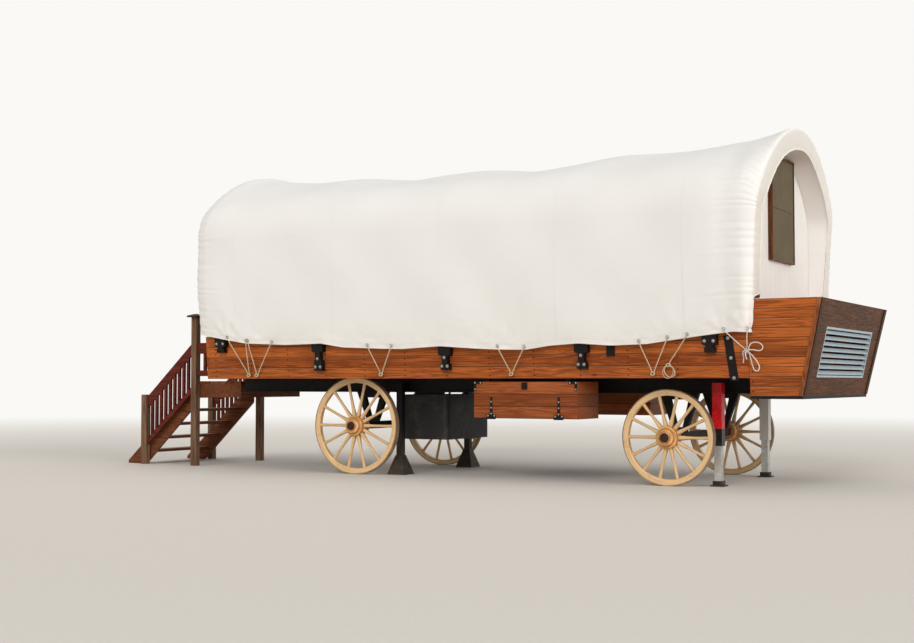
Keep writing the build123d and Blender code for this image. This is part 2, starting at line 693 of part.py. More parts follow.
def make_front_box():
    low, high = FLARE_BOTTOM[1], FLARE_TOP[1]
    rear_x = at(BOX_FRONT) + 3
    front_t = 40
    side = prism_x(plank_section(low, high, FLARE_PLANKS), rear_x, at(FLARE_TOP[0]))
    profile = [
        (rear_x, low), (flare_x(low) - front_t, low), (flare_x(high) - front_t, high),
        (rear_x, high)]
    write("front_box_sides", *both_sides(side & prism_y(profile, -1700, -1200)))

    leaning = [
        (flare_x(low) - front_t, low), (flare_x(low), low), (flare_x(high), high),
        (flare_x(high) - front_t, high)]
    front = prism_y(leaning, -1700, 1700)
    across = [
        (board_out(low), low), (board_out(high), high), (-board_out(high), high),
        (-board_out(low), low)]
    front = front & prism_x(across, rear_x, at(FLARE_TOP[0]) + 10)
    front -= block(
        (rear_x, at(FLARE_TOP[0]) + 50), (-LOUVRE_HALF_W, LOUVRE_HALF_W), LOUVRE_Z)
    write("front_box_front", front)

    # Louvres: a thin surround and sloping slats in one piece
    surround = prism_y(leaning, -LOUVRE_HALF_W, LOUVRE_HALF_W) & block(
        (rear_x, at(FLARE_TOP[0]) + 50), (-LOUVRE_HALF_W, LOUVRE_HALF_W), LOUVRE_Z)
    edge = 22
    louvres = surround - block(
        (rear_x, at(FLARE_TOP[0]) + 50), (edge - LOUVRE_HALF_W, LOUVRE_HALF_W - edge),
        (LOUVRE_Z[0] + edge, LOUVRE_Z[1] - edge))
    pitch = (LOUVRE_Z[1] - LOUVRE_Z[0] - 2 * edge) / SLATS
    for number in range(SLATS):
        z = LOUVRE_Z[0] + edge + pitch * (number + 0.5)
        x = flare_x(z)
        slat = [(x - 36, z + 14), (x - 34, z + 22), (x - 2, z - 14), (x - 4, z - 22)]
        louvres += prism_y(slat, edge - LOUVRE_HALF_W - 2, LOUVRE_HALF_W - edge + 2)
    write("front_louvres", louvres)

    top_half = board_out(high) - BOARD_T - 4
    write("front_box_top", block(
        (at(FRONT_WALL_STATION) + WALL_T / 2 + 4, flare_x(high - 35) - front_t - 4),
        (-top_half + 10, top_half - 10), (high - 35, high)))
    half = board_out(low)
    write("front_box_floor", block((rear_x, flare_x(low)), (-half, half), (low - 30, low)))


# Toolboxes between the wheels: an open-fronted plank box with a drop front on strap hinges
def make_toolboxes():
    x = (at(TOOLBOX_STATIONS[0]), at(TOOLBOX_STATIONS[1]))
    front_y = -BOARD_OUT_BOTTOM + 10
    back_y = front_y + TOOLBOX_DEPTH
    low, high = TOOLBOX_Z
    wall = TOOLBOX_WALL
    case = block(x, (front_y + wall, back_y), (low, high)) - block(
        (x[0] + wall, x[1] - wall), (front_y, back_y - wall), (low + wall, high - wall))
    lid = block(x, (front_y, front_y + wall - 5), (low + 8, high))
    # Strap hinges and corner irons on the face, a latch at the top
    face = front_y
    iron = []
    for px in (x[0] + 230, x[1] - 230):
        strap = [
            (px - 60, low + 8), (px + 60, low + 8), (px + 60, low + 45), (px + 18, low + 45),
            (px + 12, low + 250), (px - 12, low + 250), (px - 18, low + 45), (px - 60, low + 45)]
        knuckle = rod((px - 60, face - 10, low - 2), (px + 60, face - 10, low - 2), 8)
        tab = block((px - 60, px + 60), (face - 14, face - 6), (low - 2, low + 10))
        iron.append(prism_y(strap, face - 6, face) + knuckle + tab)
    for px, sign in ((x[0], 1), (x[1], -1)):
        corner = [(px, high), (px + sign * 110, high), (px + sign * 110, high - 30),
                  (px + sign * 30, high - 30), (px + sign * 30, high - 110), (px, high - 110)]
        iron.append(prism_y(corner, face - 5, face))
    middle = (x[0] + x[1]) / 2
    iron.append(block((middle - 35, middle + 35), (face - 12, face), (high - 90, high - 10)))
    for number, side in enumerate(SIDES):
        write(f"toolbox_{side}", both_sides(case)[number])
        write(f"toolbox_front_{side}", both_sides(lid)[number])
        write(f"toolbox_irons_{side}", *[both_sides(shape)[number] for shape in iron])
    hangers = []
    for px in (x[0] + 150, x[1] - 150):
        for y in (front_y + 60, back_y - 110):
            hangers.extend(both_sides(block((px - 25, px + 25), (y, y + 50), (high, RAIL_Z[1] + 2))))
    write("toolbox_hangers", *hangers)


# Porch and stair at the rear: newels that stand on the ground, a plank landing and a straight flight
def make_porch():
    deck = []
    boards = 6
    back, end = at(PORCH_BACK), at(PORCH_END)
    pitch = (back - end) / boards
    for number in range(boards):
        deck.append(block(
            (end + pitch * number, end + pitch * (number + 1) - 5), (-STAIR_Y - 25, STAIR_Y + 25),
            (PORCH_TOP_Z - PLANK2, PORCH_TOP_Z)))
    write("porch_boards", *deck)
    # Rim boards across both ends, with joists just clear between them
    fascia_z = (PORCH_TOP_Z - PLANK2 - 185, PORCH_TOP_Z - PLANK2)
    half = STAIR_Y + 25
    joists = [
        block((end, end + PLANK2), (-half, half), fascia_z),
        block((back - PLANK2, back), (-half, half), fascia_z)]
    for y in (-half, -PLANK2 / 2, half - PLANK2):
        joists.append(block((end + PLANK2 + 1, back - PLANK2 - 1), (y, y + PLANK2), fascia_z))
    write("porch_joists", *joists)

    # Newels stand just outside the landing and at the foot of the flight
    newels = []
    foot_x = at(STAIR_FOOT) + FOOT_NEWEL
    half = NEWEL / 2
    for x, top in ((end + half, NEWEL_TOP_Z), (foot_x, RAIL_TOP_Z[1] + 30)):
        newels.extend(both_sides(
            block((x - half, x + half), (-NEWEL_Y - half, -NEWEL_Y + half), (0, top))))
    write("newel_posts", *newels)
    base = Pos(end + half, -NEWEL_Y, NEWEL_TOP_Z) * Box(
        NEWEL_CAP, NEWEL_CAP, 22, align=(Align.CENTER, Align.CENTER, Align.MIN))
    peak = loft([
        Pos(end + half, -NEWEL_Y, NEWEL_TOP_Z + 22) * Rectangle(NEWEL_CAP, NEWEL_CAP),
        Pos(end + half, -NEWEL_Y, NEWEL_TOP_Z + 46) * Rectangle(40, 40)])
    write("newel_caps", *both_sides(base + peak))

    # Stringers, treads between them, and a handrail each side
    start = Vector(end - 2, 0, PORCH_TOP_Z)
    foot = Vector(at(STAIR_FOOT), 0, 0)
    slope = (start.Z - foot.Z) / (start.X - foot.X)
    depth = 330
    outline = [
        (start.X, start.Z), (foot.X, 40), (foot.X, 0), (foot.X + depth, 0),
        (start.X, start.Z - depth * slope)]
    stringer = prism_y(outline, -STAIR_Y, -STAIR_Y + PLANK2)
    write("stair_stringers", *both_sides(stringer))
    treads = []
    rise = PORCH_TOP_Z / (TREADS + 1)
    going = (start.X - foot.X) / (TREADS + 1)
    for number in range(1, TREADS + 1):
        z = rise * number
        x = foot.X + going * number
        treads.append(block(
            (x - 22, x + going - 5), (-STAIR_Y + PLANK2, STAIR_Y - PLANK2), (z - PLANK2, z)))
    write("stair_treads", *treads)
    # Rail panels: a deep handrail, a low rail and square balusters, on the flight and the landing
    high_z, low_z = RAIL_TOP_Z
    top_x, low_x = end, foot_x + half
    lean = (high_z - low_z) / (top_x - low_x)
    panels = []
    for x0, x1, z0, slant, count, drop in (
            (low_x, top_x, low_z, lean, BALUSTERS, LOW_RAIL_DROP[0]),
            (end + NEWEL, at(BOX_REAR) - BOARD_T, high_z, 0, PORCH_BALUSTERS, LOW_RAIL_DROP[1])):
        panel = rail_bar(x0, x1, z0, slant, RAIL_DEPTH)
        panel += rail_bar(x0, x1, z0 - drop, slant, LOW_RAIL_DEPTH)
        for number in range(1, count + 1):
            x = x0 + (x1 - x0) * number / (count + 1)
            z = z0 + (x - x0) * slant
            panel += block(
                (x - BALUSTER / 2, x + BALUSTER / 2), (-NEWEL_Y - BALUSTER / 2, -NEWEL_Y + BALUSTER / 2),
                (z - drop - LOW_RAIL_DEPTH / 2, z - RAIL_DEPTH / 2))
        panels.extend(both_sides(panel))
    write("stair_rails", *panels)


def rail_bar(x0, x1, z0, slant, depth):
    """A board on edge beside the stair, cut upright at both ends, z0 its top at x0."""
    z1 = z0 + (x1 - x0) * slant
    outline = [(x0, z0), (x1, z1), (x1, z1 - depth), (x0, z0 - depth)]
    return prism_y(outline, -NEWEL_Y - PLANK2 / 2, -NEWEL_Y + PLANK2 / 2)


make_wheels()
make_underframe()
make_tank()
make_legs()
make_box()
make_bonnet()
make_bows()
make_window()
make_door()
make_front_box()
make_toolboxes()
make_porch()
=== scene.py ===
import json
import math
from itertools import product

import bmesh
import bpy
import numpy as np
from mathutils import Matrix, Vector


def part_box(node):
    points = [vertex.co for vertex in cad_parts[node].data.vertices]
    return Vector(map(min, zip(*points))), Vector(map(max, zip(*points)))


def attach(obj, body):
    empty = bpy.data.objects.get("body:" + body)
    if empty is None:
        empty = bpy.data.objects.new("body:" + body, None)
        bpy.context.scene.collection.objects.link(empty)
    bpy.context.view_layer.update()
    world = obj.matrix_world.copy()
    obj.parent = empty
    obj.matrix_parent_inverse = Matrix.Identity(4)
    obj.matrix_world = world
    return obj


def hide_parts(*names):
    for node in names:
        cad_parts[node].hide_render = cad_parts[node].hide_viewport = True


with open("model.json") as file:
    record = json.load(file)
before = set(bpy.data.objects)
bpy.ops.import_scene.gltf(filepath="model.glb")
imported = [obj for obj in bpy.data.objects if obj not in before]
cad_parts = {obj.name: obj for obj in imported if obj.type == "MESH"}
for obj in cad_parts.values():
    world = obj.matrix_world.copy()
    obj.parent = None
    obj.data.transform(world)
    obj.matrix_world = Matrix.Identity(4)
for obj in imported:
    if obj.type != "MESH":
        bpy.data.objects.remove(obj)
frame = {"nodes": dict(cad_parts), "record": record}

bl_info = {
    "name": "Covered wagon",
    "version": (1, 0, 0),
    "blender": (4, 5, 0),
    "location": "View3D > Sidebar > Wagon",
    "description": "Dresses the packed solids of a covered wagon",
    "category": "Object",
}

FRONT_AXLE_X = 3.265     # stations are measured forward from the front axle
SIDES = {"right": -1, "left": 1}
BOARD_OUT, BOARD_BOTTOM, BOARD_LEAN = 1.440, 1.200, 50 / 550      # the side boards' foot and their lean


def at(station):
    """X of a station."""
    return station + FRONT_AXLE_X


def colour(code):
    """Linear colour of an sRGB hex code."""
    parts = [int(code[place:place + 2], 16) / 255 for place in (0, 2, 4)]
    return tuple(p / 12.92 if p <= 0.04045 else ((p + 0.055) / 1.055) ** 2.4 for p in parts)


# Settings that a user would change

def swatch(name, code, description):
    """A colour setting."""
    return bpy.props.FloatVectorProperty(
        name=name, description=description, subtype="COLOR", size=3, min=0, max=1,
        default=colour(code))


def length(name, default, description):
    """A length setting."""
    return bpy.props.FloatProperty(
        name=name, description=description, default=default, min=0, unit="LENGTH")


def strength(name, default, description):
    """A lamp's setting."""
    return bpy.props.FloatProperty(name=name, description=description, default=default, min=0)


class WagonCanvasSettings(bpy.types.PropertyGroup):
    canvas: swatch("Canvas", "EDEAE5", "Off-white of the cotton duck")
    # soil also gives the painted shade in the gathers' hollows, on the front lip and on the rolled edges
    soil: swatch("Soil", "D2C6B0", "Dust and damp that gather along the hem and in the gathers")
    gather_depth: length("Gather depth", 0.010, "How far the gathers at the two ends stand out")
    gather_pitch: length("Gather pitch", 0.118, "From one gather to the next, round the arch")
    sag_depth: length("Sag depth", 0.009, "How far the canvas sinks between two bows")
    seam_pitch: length("Seam pitch", 1.52, "Width of one strip of canvas between its seams")


class WagonTimberSettings(bpy.types.PropertyGroup):
    board_light: swatch("Board, light", "C86D31", "Early wood of the stained boards")
    board_dark: swatch("Board, dark", "83401C", "Late wood of the stained boards")
    wheel_light: swatch("Wheel, light", "EBC791", "Early wood of the varnished wheels")
    wheel_dark: swatch("Wheel, dark", "CC9F6B", "Late wood of the varnished wheels")
    stair_light: swatch("Stair, light", "8C5433", "Early wood of the stair and landing")
    stair_dark: swatch("Stair, dark", "57301F", "Late wood of the stair and landing")


class WagonRopeSettings(bpy.types.PropertyGroup):
    rope: swatch("Rope", "D9C29C", "Undyed cotton rope")
    tie: swatch("Front tie", "E9DCD2", "Paler rope of the bow-knotted front tie")
    thickness: length("Thickness", 0.014, "Diameter of the lashing ropes")
    tie_thickness: length("Tie thickness", 0.014, "Diameter of the front tie")


class WagonIronSettings(bpy.types.PropertyGroup):
    black: swatch("Black iron", "100E0D", "Satin black paint on the frame and irons")
    bolt: swatch("Bolt", "A9A6A0", "Zinc on the bolt heads")
    bolt_width: length("Bolt width", 0.026, "Across a bolt head")
    screw_width: length("Screw width", 0.011, "Across a screw head")


class WagonStageSettings(bpy.types.PropertyGroup):
    floor: swatch("Floor", "E6DFD5", "Pale studio floor")
    backdrop: swatch("Backdrop", "FAF9F6", "What the camera sees behind the wagon")
    sky: strength("Sky", 0.5, "Strength of the light all round")
    key: strength("Key", 1.06, "Strength of the main lamp")
    fill: strength("Fill", 1.6, "Strength of the lamp in front")


# Nodes

MATH, RANGE, MIX = "ShaderNodeMath", "ShaderNodeMapRange", "ShaderNodeMix"
NOISE, CELLS, BUMP = "ShaderNodeTexNoise", "ShaderNodeTexVoronoi", "ShaderNodeBump"
SPLIT, COMBINE, STRETCH = "ShaderNodeSeparateXYZ", "ShaderNodeCombineXYZ", "ShaderNodeMapping"
SOFT = {"interpolation_type": "SMOOTHSTEP"}      # a range with soft ends
COLOURS = {"data_type": "RGBA", "out": 2}        # a mix of the colours on inputs 6 and 7


def add(tree, kind, inputs=(), out=0, **settings):
    """One output of a new node, or the node itself where out is None. Its settings are made, and its
    inputs are linked or set, by name or in order. A colour of three parts gets its alpha."""
    node = tree.nodes.new(kind)
    for key, value in settings.items():
        setattr(node, key, value)
    for key, value in inputs.items() if isinstance(inputs, dict) else enumerate(inputs):
        socket = node.inputs[key]
        if isinstance(value, bpy.types.NodeSocket):
            tree.links.new(value, socket)
        elif socket.type == "RGBA" and len(value) == 3:
            socket.default_value = (*value, 1)
        else:
            socket.default_value = value
    return node if out is None else node.outputs[out]


def new_finish(name):
    """An empty material, its tree, and the place on the object in metres."""
    made = bpy.data.materials.new(name)
    made.use_nodes = True
    made.node_tree.nodes.clear()
    return made, made.node_tree, add(made.node_tree, "ShaderNodeTexCoord", out="Object")


def shaded(made, inputs):
    """Ends a material with its shader and these inputs."""
    shader = add(made.node_tree, "ShaderNodeBsdfPrincipled", inputs)
    add(made.node_tree, "ShaderNodeOutputMaterial", {"Surface": shader}, None)
    return made


def from_middle(tree, count):
    """How far a count is from the middle of its step: 0 there, and 0.5 where a step ends."""
    share = add(tree, MATH, (count,), operation="FRACT")
    share = add(tree, MATH, (share, 0.5), operation="SUBTRACT")
    return add(tree, MATH, (share,), operation="ABSOLUTE")


def dashes(tree, run, pitch):
    """1 on each stitch of a seam and 0 in the gaps, 30% of the pitch."""
    share = add(tree, MATH, (run, pitch), operation="DIVIDE")
    share = add(tree, MATH, (share,), operation="FRACT")
    return add(tree, MATH, (share, 0.3), operation="GREATER_THAN")


def thread_row(tree, distance, middle, inner, outer):
    """1 on a row of thread at a distance from an edge, and 0 beside it."""
    away = add(tree, MATH, (distance, middle), operation="SUBTRACT")
    away = add(tree, MATH, (away,), operation="ABSOLUTE")
    return add(tree, RANGE, (away, inner, outer, 1, 0), **SOFT)


def shade(tone, share):
    """A colour at a share of its brightness."""
    return tuple(min(1, part * share) for part in tone)


# Finishes

# The scale of a noise is how many of its features go in a metre: 110 gives features 9 mm wide
GRAIN = {"X": (0.045, 1, 1), "Y": (1, 0.045, 1), "Z": (1, 1, 0.045)}      # fibres 22 times as long as wide
RUST, ROAD_DUST = colour("6E3B22"), colour("BCA386")


def timber(name, light, dark, run, planks=None, gloss=0.42, knots=0.0, upper_face_colour=None):
    """Planed boards under a stain: long fibres 9 mm wide, which is coarser than real so that they
    show, growth rings 67 mm apart, dirt in patches of 0.6 m, each plank in its own tone and dark
    joints. planks is the axis they are stacked on, where they start and their width. The last
    argument is the colour of the faces that point up: weathering, and where it is lighter, partly a
    painted highlight of the light falling from above."""
    made, tree, place = new_finish(name)
    if planks:
        axis, start, width = planks
        count = add(tree, MATH, (add(tree, SPLIT, (place,), axis), start), operation="SUBTRACT")
        count = add(tree, MATH, (count, width), operation="DIVIDE")
        number = add(tree, MATH, (count,), operation="FLOOR")
        own = add(tree, "ShaderNodeTexWhiteNoise", {"W": number}, noise_dimensions="1D")
        shift = add(tree, COMBINE, [
            add(tree, MATH, (own, far), operation="MULTIPLY") for far in (37.0, 11.0)])
        place = add(tree, "ShaderNodeVectorMath", (place, shift), operation="ADD")
    grain = add(tree, STRETCH, {"Vector": place, "Scale": GRAIN[run]})
    fibre = add(tree, NOISE, {"Vector": grain, "Scale": 110, "Detail": 4, "Roughness": 0.62})
    rings = add(tree, NOISE, {
        "Vector": grain, "Scale": 15, "Detail": 2, "Roughness": 0.5, "Distortion": 1.3})
    bands = add(tree, MATH, (rings, 5.0), operation="MULTIPLY")
    bands = add(tree, MATH, (bands, 0.5), operation="PINGPONG")
    mixed = add(tree, MATH, (bands, 0.75), operation="MULTIPLY")
    mixed = add(tree, MATH, (fibre, 0.55, mixed), operation="MULTIPLY_ADD")
    if planks:
        own = add(tree, RANGE, (own, 0, 1, -0.16, 0.16), **SOFT)
        mixed = add(tree, MATH, (mixed, own), operation="ADD")
    mixed = add(tree, RANGE, (mixed, 0.18, 0.82), **SOFT)
    tone = add(tree, MIX, {0: mixed, 6: dark, 7: light}, **COLOURS)
    weather = add(tree, NOISE, {"Vector": place, "Scale": 1.6, "Detail": 3, "Roughness": 0.6})
    weather = add(tree, RANGE, (weather, 0.35, 0.75, 0, 0.35), **SOFT)
    tone = add(tree, MIX, {0: weather, 6: tone, 7: shade(dark, 0.62)}, **COLOURS)
    if knots:
        spot = add(tree, STRETCH, {
            "Vector": place, "Scale": [0.9 if part < 1 else 3.4 for part in GRAIN[run]]})
        cell = add(tree, CELLS, {"Vector": spot, "Scale": 1.7, "Randomness": 1.0}, None).outputs
        chosen = add(tree, SPLIT, (cell["Color"],))
        chosen = add(tree, MATH, (chosen, 1 - knots), operation="GREATER_THAN")
        knot = add(tree, RANGE, (cell["Distance"], 0.03, 0.075, 1, 0), **SOFT)
        knot = add(tree, MATH, (chosen, knot), operation="MULTIPLY")
        tone = add(tree, MIX, {0: knot, 6: tone, 7: shade(dark, 0.3)}, **COLOURS)
    if planks:
        seam = from_middle(tree, count)
        seam = add(tree, RANGE, (seam, 0.5 - 0.006 / width, 0.5 - 0.001 / width), **SOFT)
        tone = add(tree, MIX, {0: seam, 6: tone, 7: shade(dark, 0.12)}, **COLOURS)
    if upper_face_colour:
        # Painted highlight, with weathering: faces that point up take the upper faces' colour, which where
        # it is lighter stands for light falling on them from above.
        up = add(tree, SPLIT, (add(tree, "ShaderNodeTexCoord", out="Normal"),), "Z")
        up = add(tree, RANGE, (up, 0.35, 0.9), **SOFT)
        patchy = add(tree, RANGE, (fibre, 0.2, 0.7, 0.5, 0.95), **SOFT)
        facing_up = add(tree, MATH, (up, patchy), operation="MULTIPLY")
        tone = add(tree, MIX, {0: facing_up, 6: tone, 7: upper_face_colour}, **COLOURS)
    rough = add(tree, RANGE, (fibre, 0.2, 0.8, gloss + 0.12, gloss - 0.06), **SOFT)
    height = add(tree, MATH, (fibre, bands), operation="ADD")
    return shaded(made, {
        "Base Color": tone, "Roughness": rough, "Specular IOR Level": 0.1,
        "Normal": add(tree, BUMP, {"Height": height, "Distance": 0.0007})})


def shaved_timber(name, light, dark, gloss=0.36):
    """Ash or elm, shaved or turned and varnished: the grain follows each spoke, felloe or nave by its
    own map, under a clear gloss, with grime in patches of 140 mm."""
    made, tree, place = new_finish(name)
    run = add(tree, "ShaderNodeUVMap", uv_map="grain")
    grain = add(tree, STRETCH, {"Vector": run, "Scale": (0.05, 1, 1)})
    fibre = add(tree, NOISE, {"Vector": grain, "Scale": 120, "Detail": 4, "Roughness": 0.6})
    grain = add(tree, STRETCH, {"Vector": run, "Scale": (0.08, 1, 1)})
    rings = add(tree, NOISE, {
        "Vector": grain, "Scale": 14, "Detail": 2, "Roughness": 0.5, "Distortion": 0.8})
    mixed = add(tree, MATH, (rings, 0.5), operation="MULTIPLY")
    mixed = add(tree, MATH, (fibre, 0.5, mixed), operation="MULTIPLY_ADD")
    mixed = add(tree, RANGE, (mixed, 0.28, 0.72), **SOFT)
    tone = add(tree, MIX, {0: mixed, 6: dark, 7: light}, **COLOURS)
    grime = add(tree, NOISE, {"Vector": place, "Scale": 7, "Detail": 4, "Roughness": 0.65})
    grime = add(tree, RANGE, (grime, 0.52, 0.8, 0, 0.45), **SOFT)
    return shaded(made, {
        "Base Color": add(tree, MIX, {0: grime, 6: tone, 7: shade(dark, 0.5)}, **COLOURS),
        "Roughness": add(tree, RANGE, (fibre, 0.2, 0.8, gloss + 0.1, gloss - 0.08), **SOFT),
        "Normal": add(tree, BUMP, {"Height": fibre, "Distance": 0.0006}),
        "Coat Weight": 0.2, "Coat Roughness": 0.22})


def painted_iron(name, base, gloss=0.42, rust=0.25, dust=0.3, zones=(), mottle=0.3):
    """Iron or steel, brushed with paint: thin and thick places 110 mm wide, rust where it chips, in
    specks of 22 mm, and road dust below 0.75 m. Each zone is an axis, from where to where on it,
    and the colour of the paint there."""
    made, tree, place = new_finish(name)
    axes = add(tree, SPLIT, (place,), None).outputs
    coat = add(tree, NOISE, {"Vector": place, "Scale": 9, "Detail": 4, "Roughness": 0.6})
    chips = add(tree, NOISE, {"Vector": place, "Scale": 46, "Detail": 5, "Roughness": 0.68})
    tone = add(tree, MIX, {
        0: add(tree, RANGE, (coat, 0.3, 0.7), **SOFT),
        6: shade(base, 1 - mottle), 7: shade(base, 1 + mottle)}, **COLOURS)
    for axis, low, high, other in zones:
        away = add(tree, MATH, (axes[axis], (low + high) / 2), operation="SUBTRACT")
        away = add(tree, MATH, (away,), operation="ABSOLUTE")
        inside = add(tree, MATH, (away, (high - low) / 2), operation="LESS_THAN")
        tone = add(tree, MIX, {0: inside, 6: tone, 7: other}, **COLOURS)
    chipped = add(tree, RANGE, (chips, 0.66, 0.78, 0, rust), **SOFT)
    tone = add(tree, MIX, {0: chipped, 6: tone, 7: RUST}, **COLOURS)
    low_down = add(tree, RANGE, (axes["Z"], 0.02, 0.75, 1, 0), **SOFT)
    uneven = add(tree, RANGE, (coat, 0.3, 0.7, 0.4, 1), **SOFT)
    settled = add(tree, MATH, (low_down, uneven), operation="MULTIPLY")
    settled = add(tree, MATH, (settled, dust), operation="MULTIPLY")
    return shaded(made, {
        "Base Color": add(tree, MIX, {0: settled, 6: tone, 7: ROAD_DUST}, **COLOURS),
        "Roughness": add(tree, RANGE, (chips, 0.35, 0.75, gloss, gloss + 0.22), **SOFT),
        "Normal": add(tree, BUMP, {"Height": chips, "Distance": 0.0004}),
        "Specular IOR Level": 0.2})


def bare_metal(name, base, gloss, speck):
    """Zinc or worn steel, dipped or plated: a metal with spangle, speck grains to the metre, and dull
    patches 70 mm wide."""
    made, tree, place = new_finish(name)
    cell = add(tree, CELLS, {"Vector": place, "Scale": speck}, "Color")
    spangle = add(tree, SPLIT, (cell,))
    tone = add(tree, MIX, {0: spangle, 6: shade(base, 0.82), 7: base}, **COLOURS)
    dull = add(tree, NOISE, {"Vector": place, "Scale": 14, "Detail": 4, "Roughness": 0.6})
    patch = add(tree, RANGE, (dull, 0.45, 0.75, 0, 0.55), **SOFT)
    return shaded(made, {
        "Base Color": add(tree, MIX, {0: patch, 6: tone, 7: shade(base, 0.55)}, **COLOURS),
        "Roughness": add(tree, RANGE, (dull, 0.3, 0.7, gloss, gloss + 0.25), **SOFT),
        "Metallic": 0.85})


def wall_paint(name, base, damp_and_shade):
    """Cream paint brushed up and down on boards 0.19 m wide: brush marks 17 mm wide, faint board
    joints, stains in patches, and painted shade that darkens the wall from 3.3 m up to its top."""
    made, tree, place = new_finish(name)
    axes = add(tree, SPLIT, (place,), None).outputs
    upright = add(tree, STRETCH, {"Vector": place, "Scale": (1, 1, 0.05)})
    brush = add(tree, NOISE, {"Vector": upright, "Scale": 60, "Detail": 4, "Roughness": 0.6})
    patch = add(tree, NOISE, {"Vector": place, "Scale": 2.2, "Detail": 3, "Roughness": 0.55})
    count = add(tree, MATH, (axes["Y"], 0.19), operation="DIVIDE")
    seam = add(tree, RANGE, (from_middle(tree, count), 0.482, 0.497), **SOFT)
    stain = add(tree, RANGE, (patch, 0.35, 0.75, 0, 0.15), **SOFT)
    tone = add(tree, MIX, {0: stain, 6: base, 7: damp_and_shade}, **COLOURS)
    # painted shade: the wall darkens towards its top, under the overhang of the lip
    painted_shade_top = add(tree, RANGE, (axes["Z"], 3.3, 4.0, 0, 0.3), **SOFT)
    tone = add(tree, MIX, {0: painted_shade_top, 6: tone, 7: damp_and_shade}, **COLOURS)
    shadow = add(tree, MATH, (seam, 0.35), operation="MULTIPLY")
    height = add(tree, MATH, (brush, 0.3), operation="MULTIPLY")
    height = add(tree, MATH, (height, seam), operation="SUBTRACT")
    return shaded(made, {
        "Base Color": add(tree, MIX, {0: shadow, 6: tone, 7: shade(damp_and_shade, 0.55)}, **COLOURS),
        "Roughness": add(tree, RANGE, (brush, 0.3, 0.7, 0.62, 0.5), **SOFT),
        "Normal": add(tree, BUMP, {"Height": height, "Distance": 0.0012})})


def duck(name, base, soil):
    """Woven cotton duck: a weave drawn at 2.2 mm, about twice the real one, slubs, soft creases
    0.18 m wide, strip seams lapped 16 mm with two rows of stitches, hems, soil, and painted shade
    in the gathers' hollows, on the front lip and on the rolled edges."""
    made, tree, place = new_finish(name)
    cut = add(tree, "ShaderNodeUVMap", uv_map="cut")
    along, around = add(tree, SPLIT, (cut,), None).outputs[:2]
    edge, painted_shade = [
        add(tree, "ShaderNodeAttribute", out="Fac", attribute_name=key) for key in ("edge", "painted_shade")]
    threads = []
    for way in (along, around):
        turn = add(tree, MATH, (way, 2 * math.pi / 0.0022), operation="MULTIPLY")
        threads.append(add(tree, MATH, (turn,), operation="SINE"))
    weave = add(tree, MATH, threads, operation="ADD")
    spot = add(tree, STRETCH, {"Vector": place, "Scale": (1, 1, 1.5)})
    crease = add(tree, NOISE, {
        "Vector": spot, "Scale": 5.5, "Detail": 5, "Roughness": 0.55, "Distortion": 0.5})
    spot = add(tree, STRETCH, {"Vector": cut, "Scale": (0.12, 1, 1)})
    slub = add(tree, NOISE, {"Vector": spot, "Scale": 190, "Detail": 3, "Roughness": 0.6})

    strip = bpy.context.scene.wagon_canvas.seam_pitch
    lap = from_middle(tree, add(tree, MATH, (along, strip), operation="DIVIDE"))      # 0 at a seam
    lap = add(tree, MATH, (lap, strip), operation="MULTIPLY")
    seam = add(tree, RANGE, (lap, 0.008, 0.010, 1, 0), **SOFT)
    hem = add(tree, RANGE, (edge, 0.052, 0.056, 1, 0), **SOFT)
    diagonal = add(tree, MATH, (along, around), operation="ADD")
    stitches = [add(tree, MATH, pair, operation="MULTIPLY") for pair in (
        (thread_row(tree, lap, 0.007, 0.0008, 0.0016), dashes(tree, around, 0.005)),
        (thread_row(tree, edge, 0.047, 0.001, 0.002), dashes(tree, diagonal, 0.006)))]
    stitches = add(tree, MATH, stitches, operation="MAXIMUM")

    cloud = add(tree, NOISE, {"Vector": place, "Scale": 1.1, "Detail": 4, "Roughness": 0.6})
    near_edge = add(tree, RANGE, (edge, 0.0, 0.3, 1, 0), **SOFT)
    creased = add(tree, RANGE, (crease, 0.3, 0.7, 0.05, 0.22), **SOFT)
    tone = base
    for share in (
            add(tree, RANGE, (cloud, 0.4, 0.75, 0, 0.06), **SOFT),
            add(tree, MATH, (near_edge, creased), operation="MULTIPLY"),
            # painted shade: the soil colour darkens the gathers' hollows, the front lip and the rolled
            # edges
            add(tree, RANGE, (painted_shade, 0.1, 1.0, 0, 0.3), **SOFT),
            add(tree, MATH, (seam, 0.03), operation="MULTIPLY")):
        tone = add(tree, MIX, {0: share, 6: tone, 7: soil}, **COLOURS)
    share = add(tree, MATH, (stitches, 0.12), operation="MULTIPLY")
    tone = add(tree, MIX, {0: share, 6: tone, 7: shade(soil, 0.7)}, **COLOURS)

    height = add(tree, MATH, (weave, 0.25, slub), operation="MULTIPLY_ADD")
    fine = add(tree, BUMP, {"Height": height, "Distance": 0.0003})
    height = add(tree, MATH, (hem, 0.5), operation="MULTIPLY")
    height = add(tree, MATH, (seam, 0.25, height), operation="MULTIPLY_ADD")
    height = add(tree, MATH, (crease, 1.3, height), operation="MULTIPLY_ADD")
    height = add(tree, MATH, (stitches, -0.25, height), operation="MULTIPLY_ADD")
    return shaded(made, {
        "Base Color": tone, "Roughness": add(tree, RANGE, (slub, 0.3, 0.7, 0.82, 0.94), **SOFT),
        "Normal": add(tree, BUMP, {
            "Height": height, "Distance": 0.0028, "Strength": 0.9, "Normal": fine}),
        "Sheen Weight": 0.12, "Sheen Roughness": 0.6})


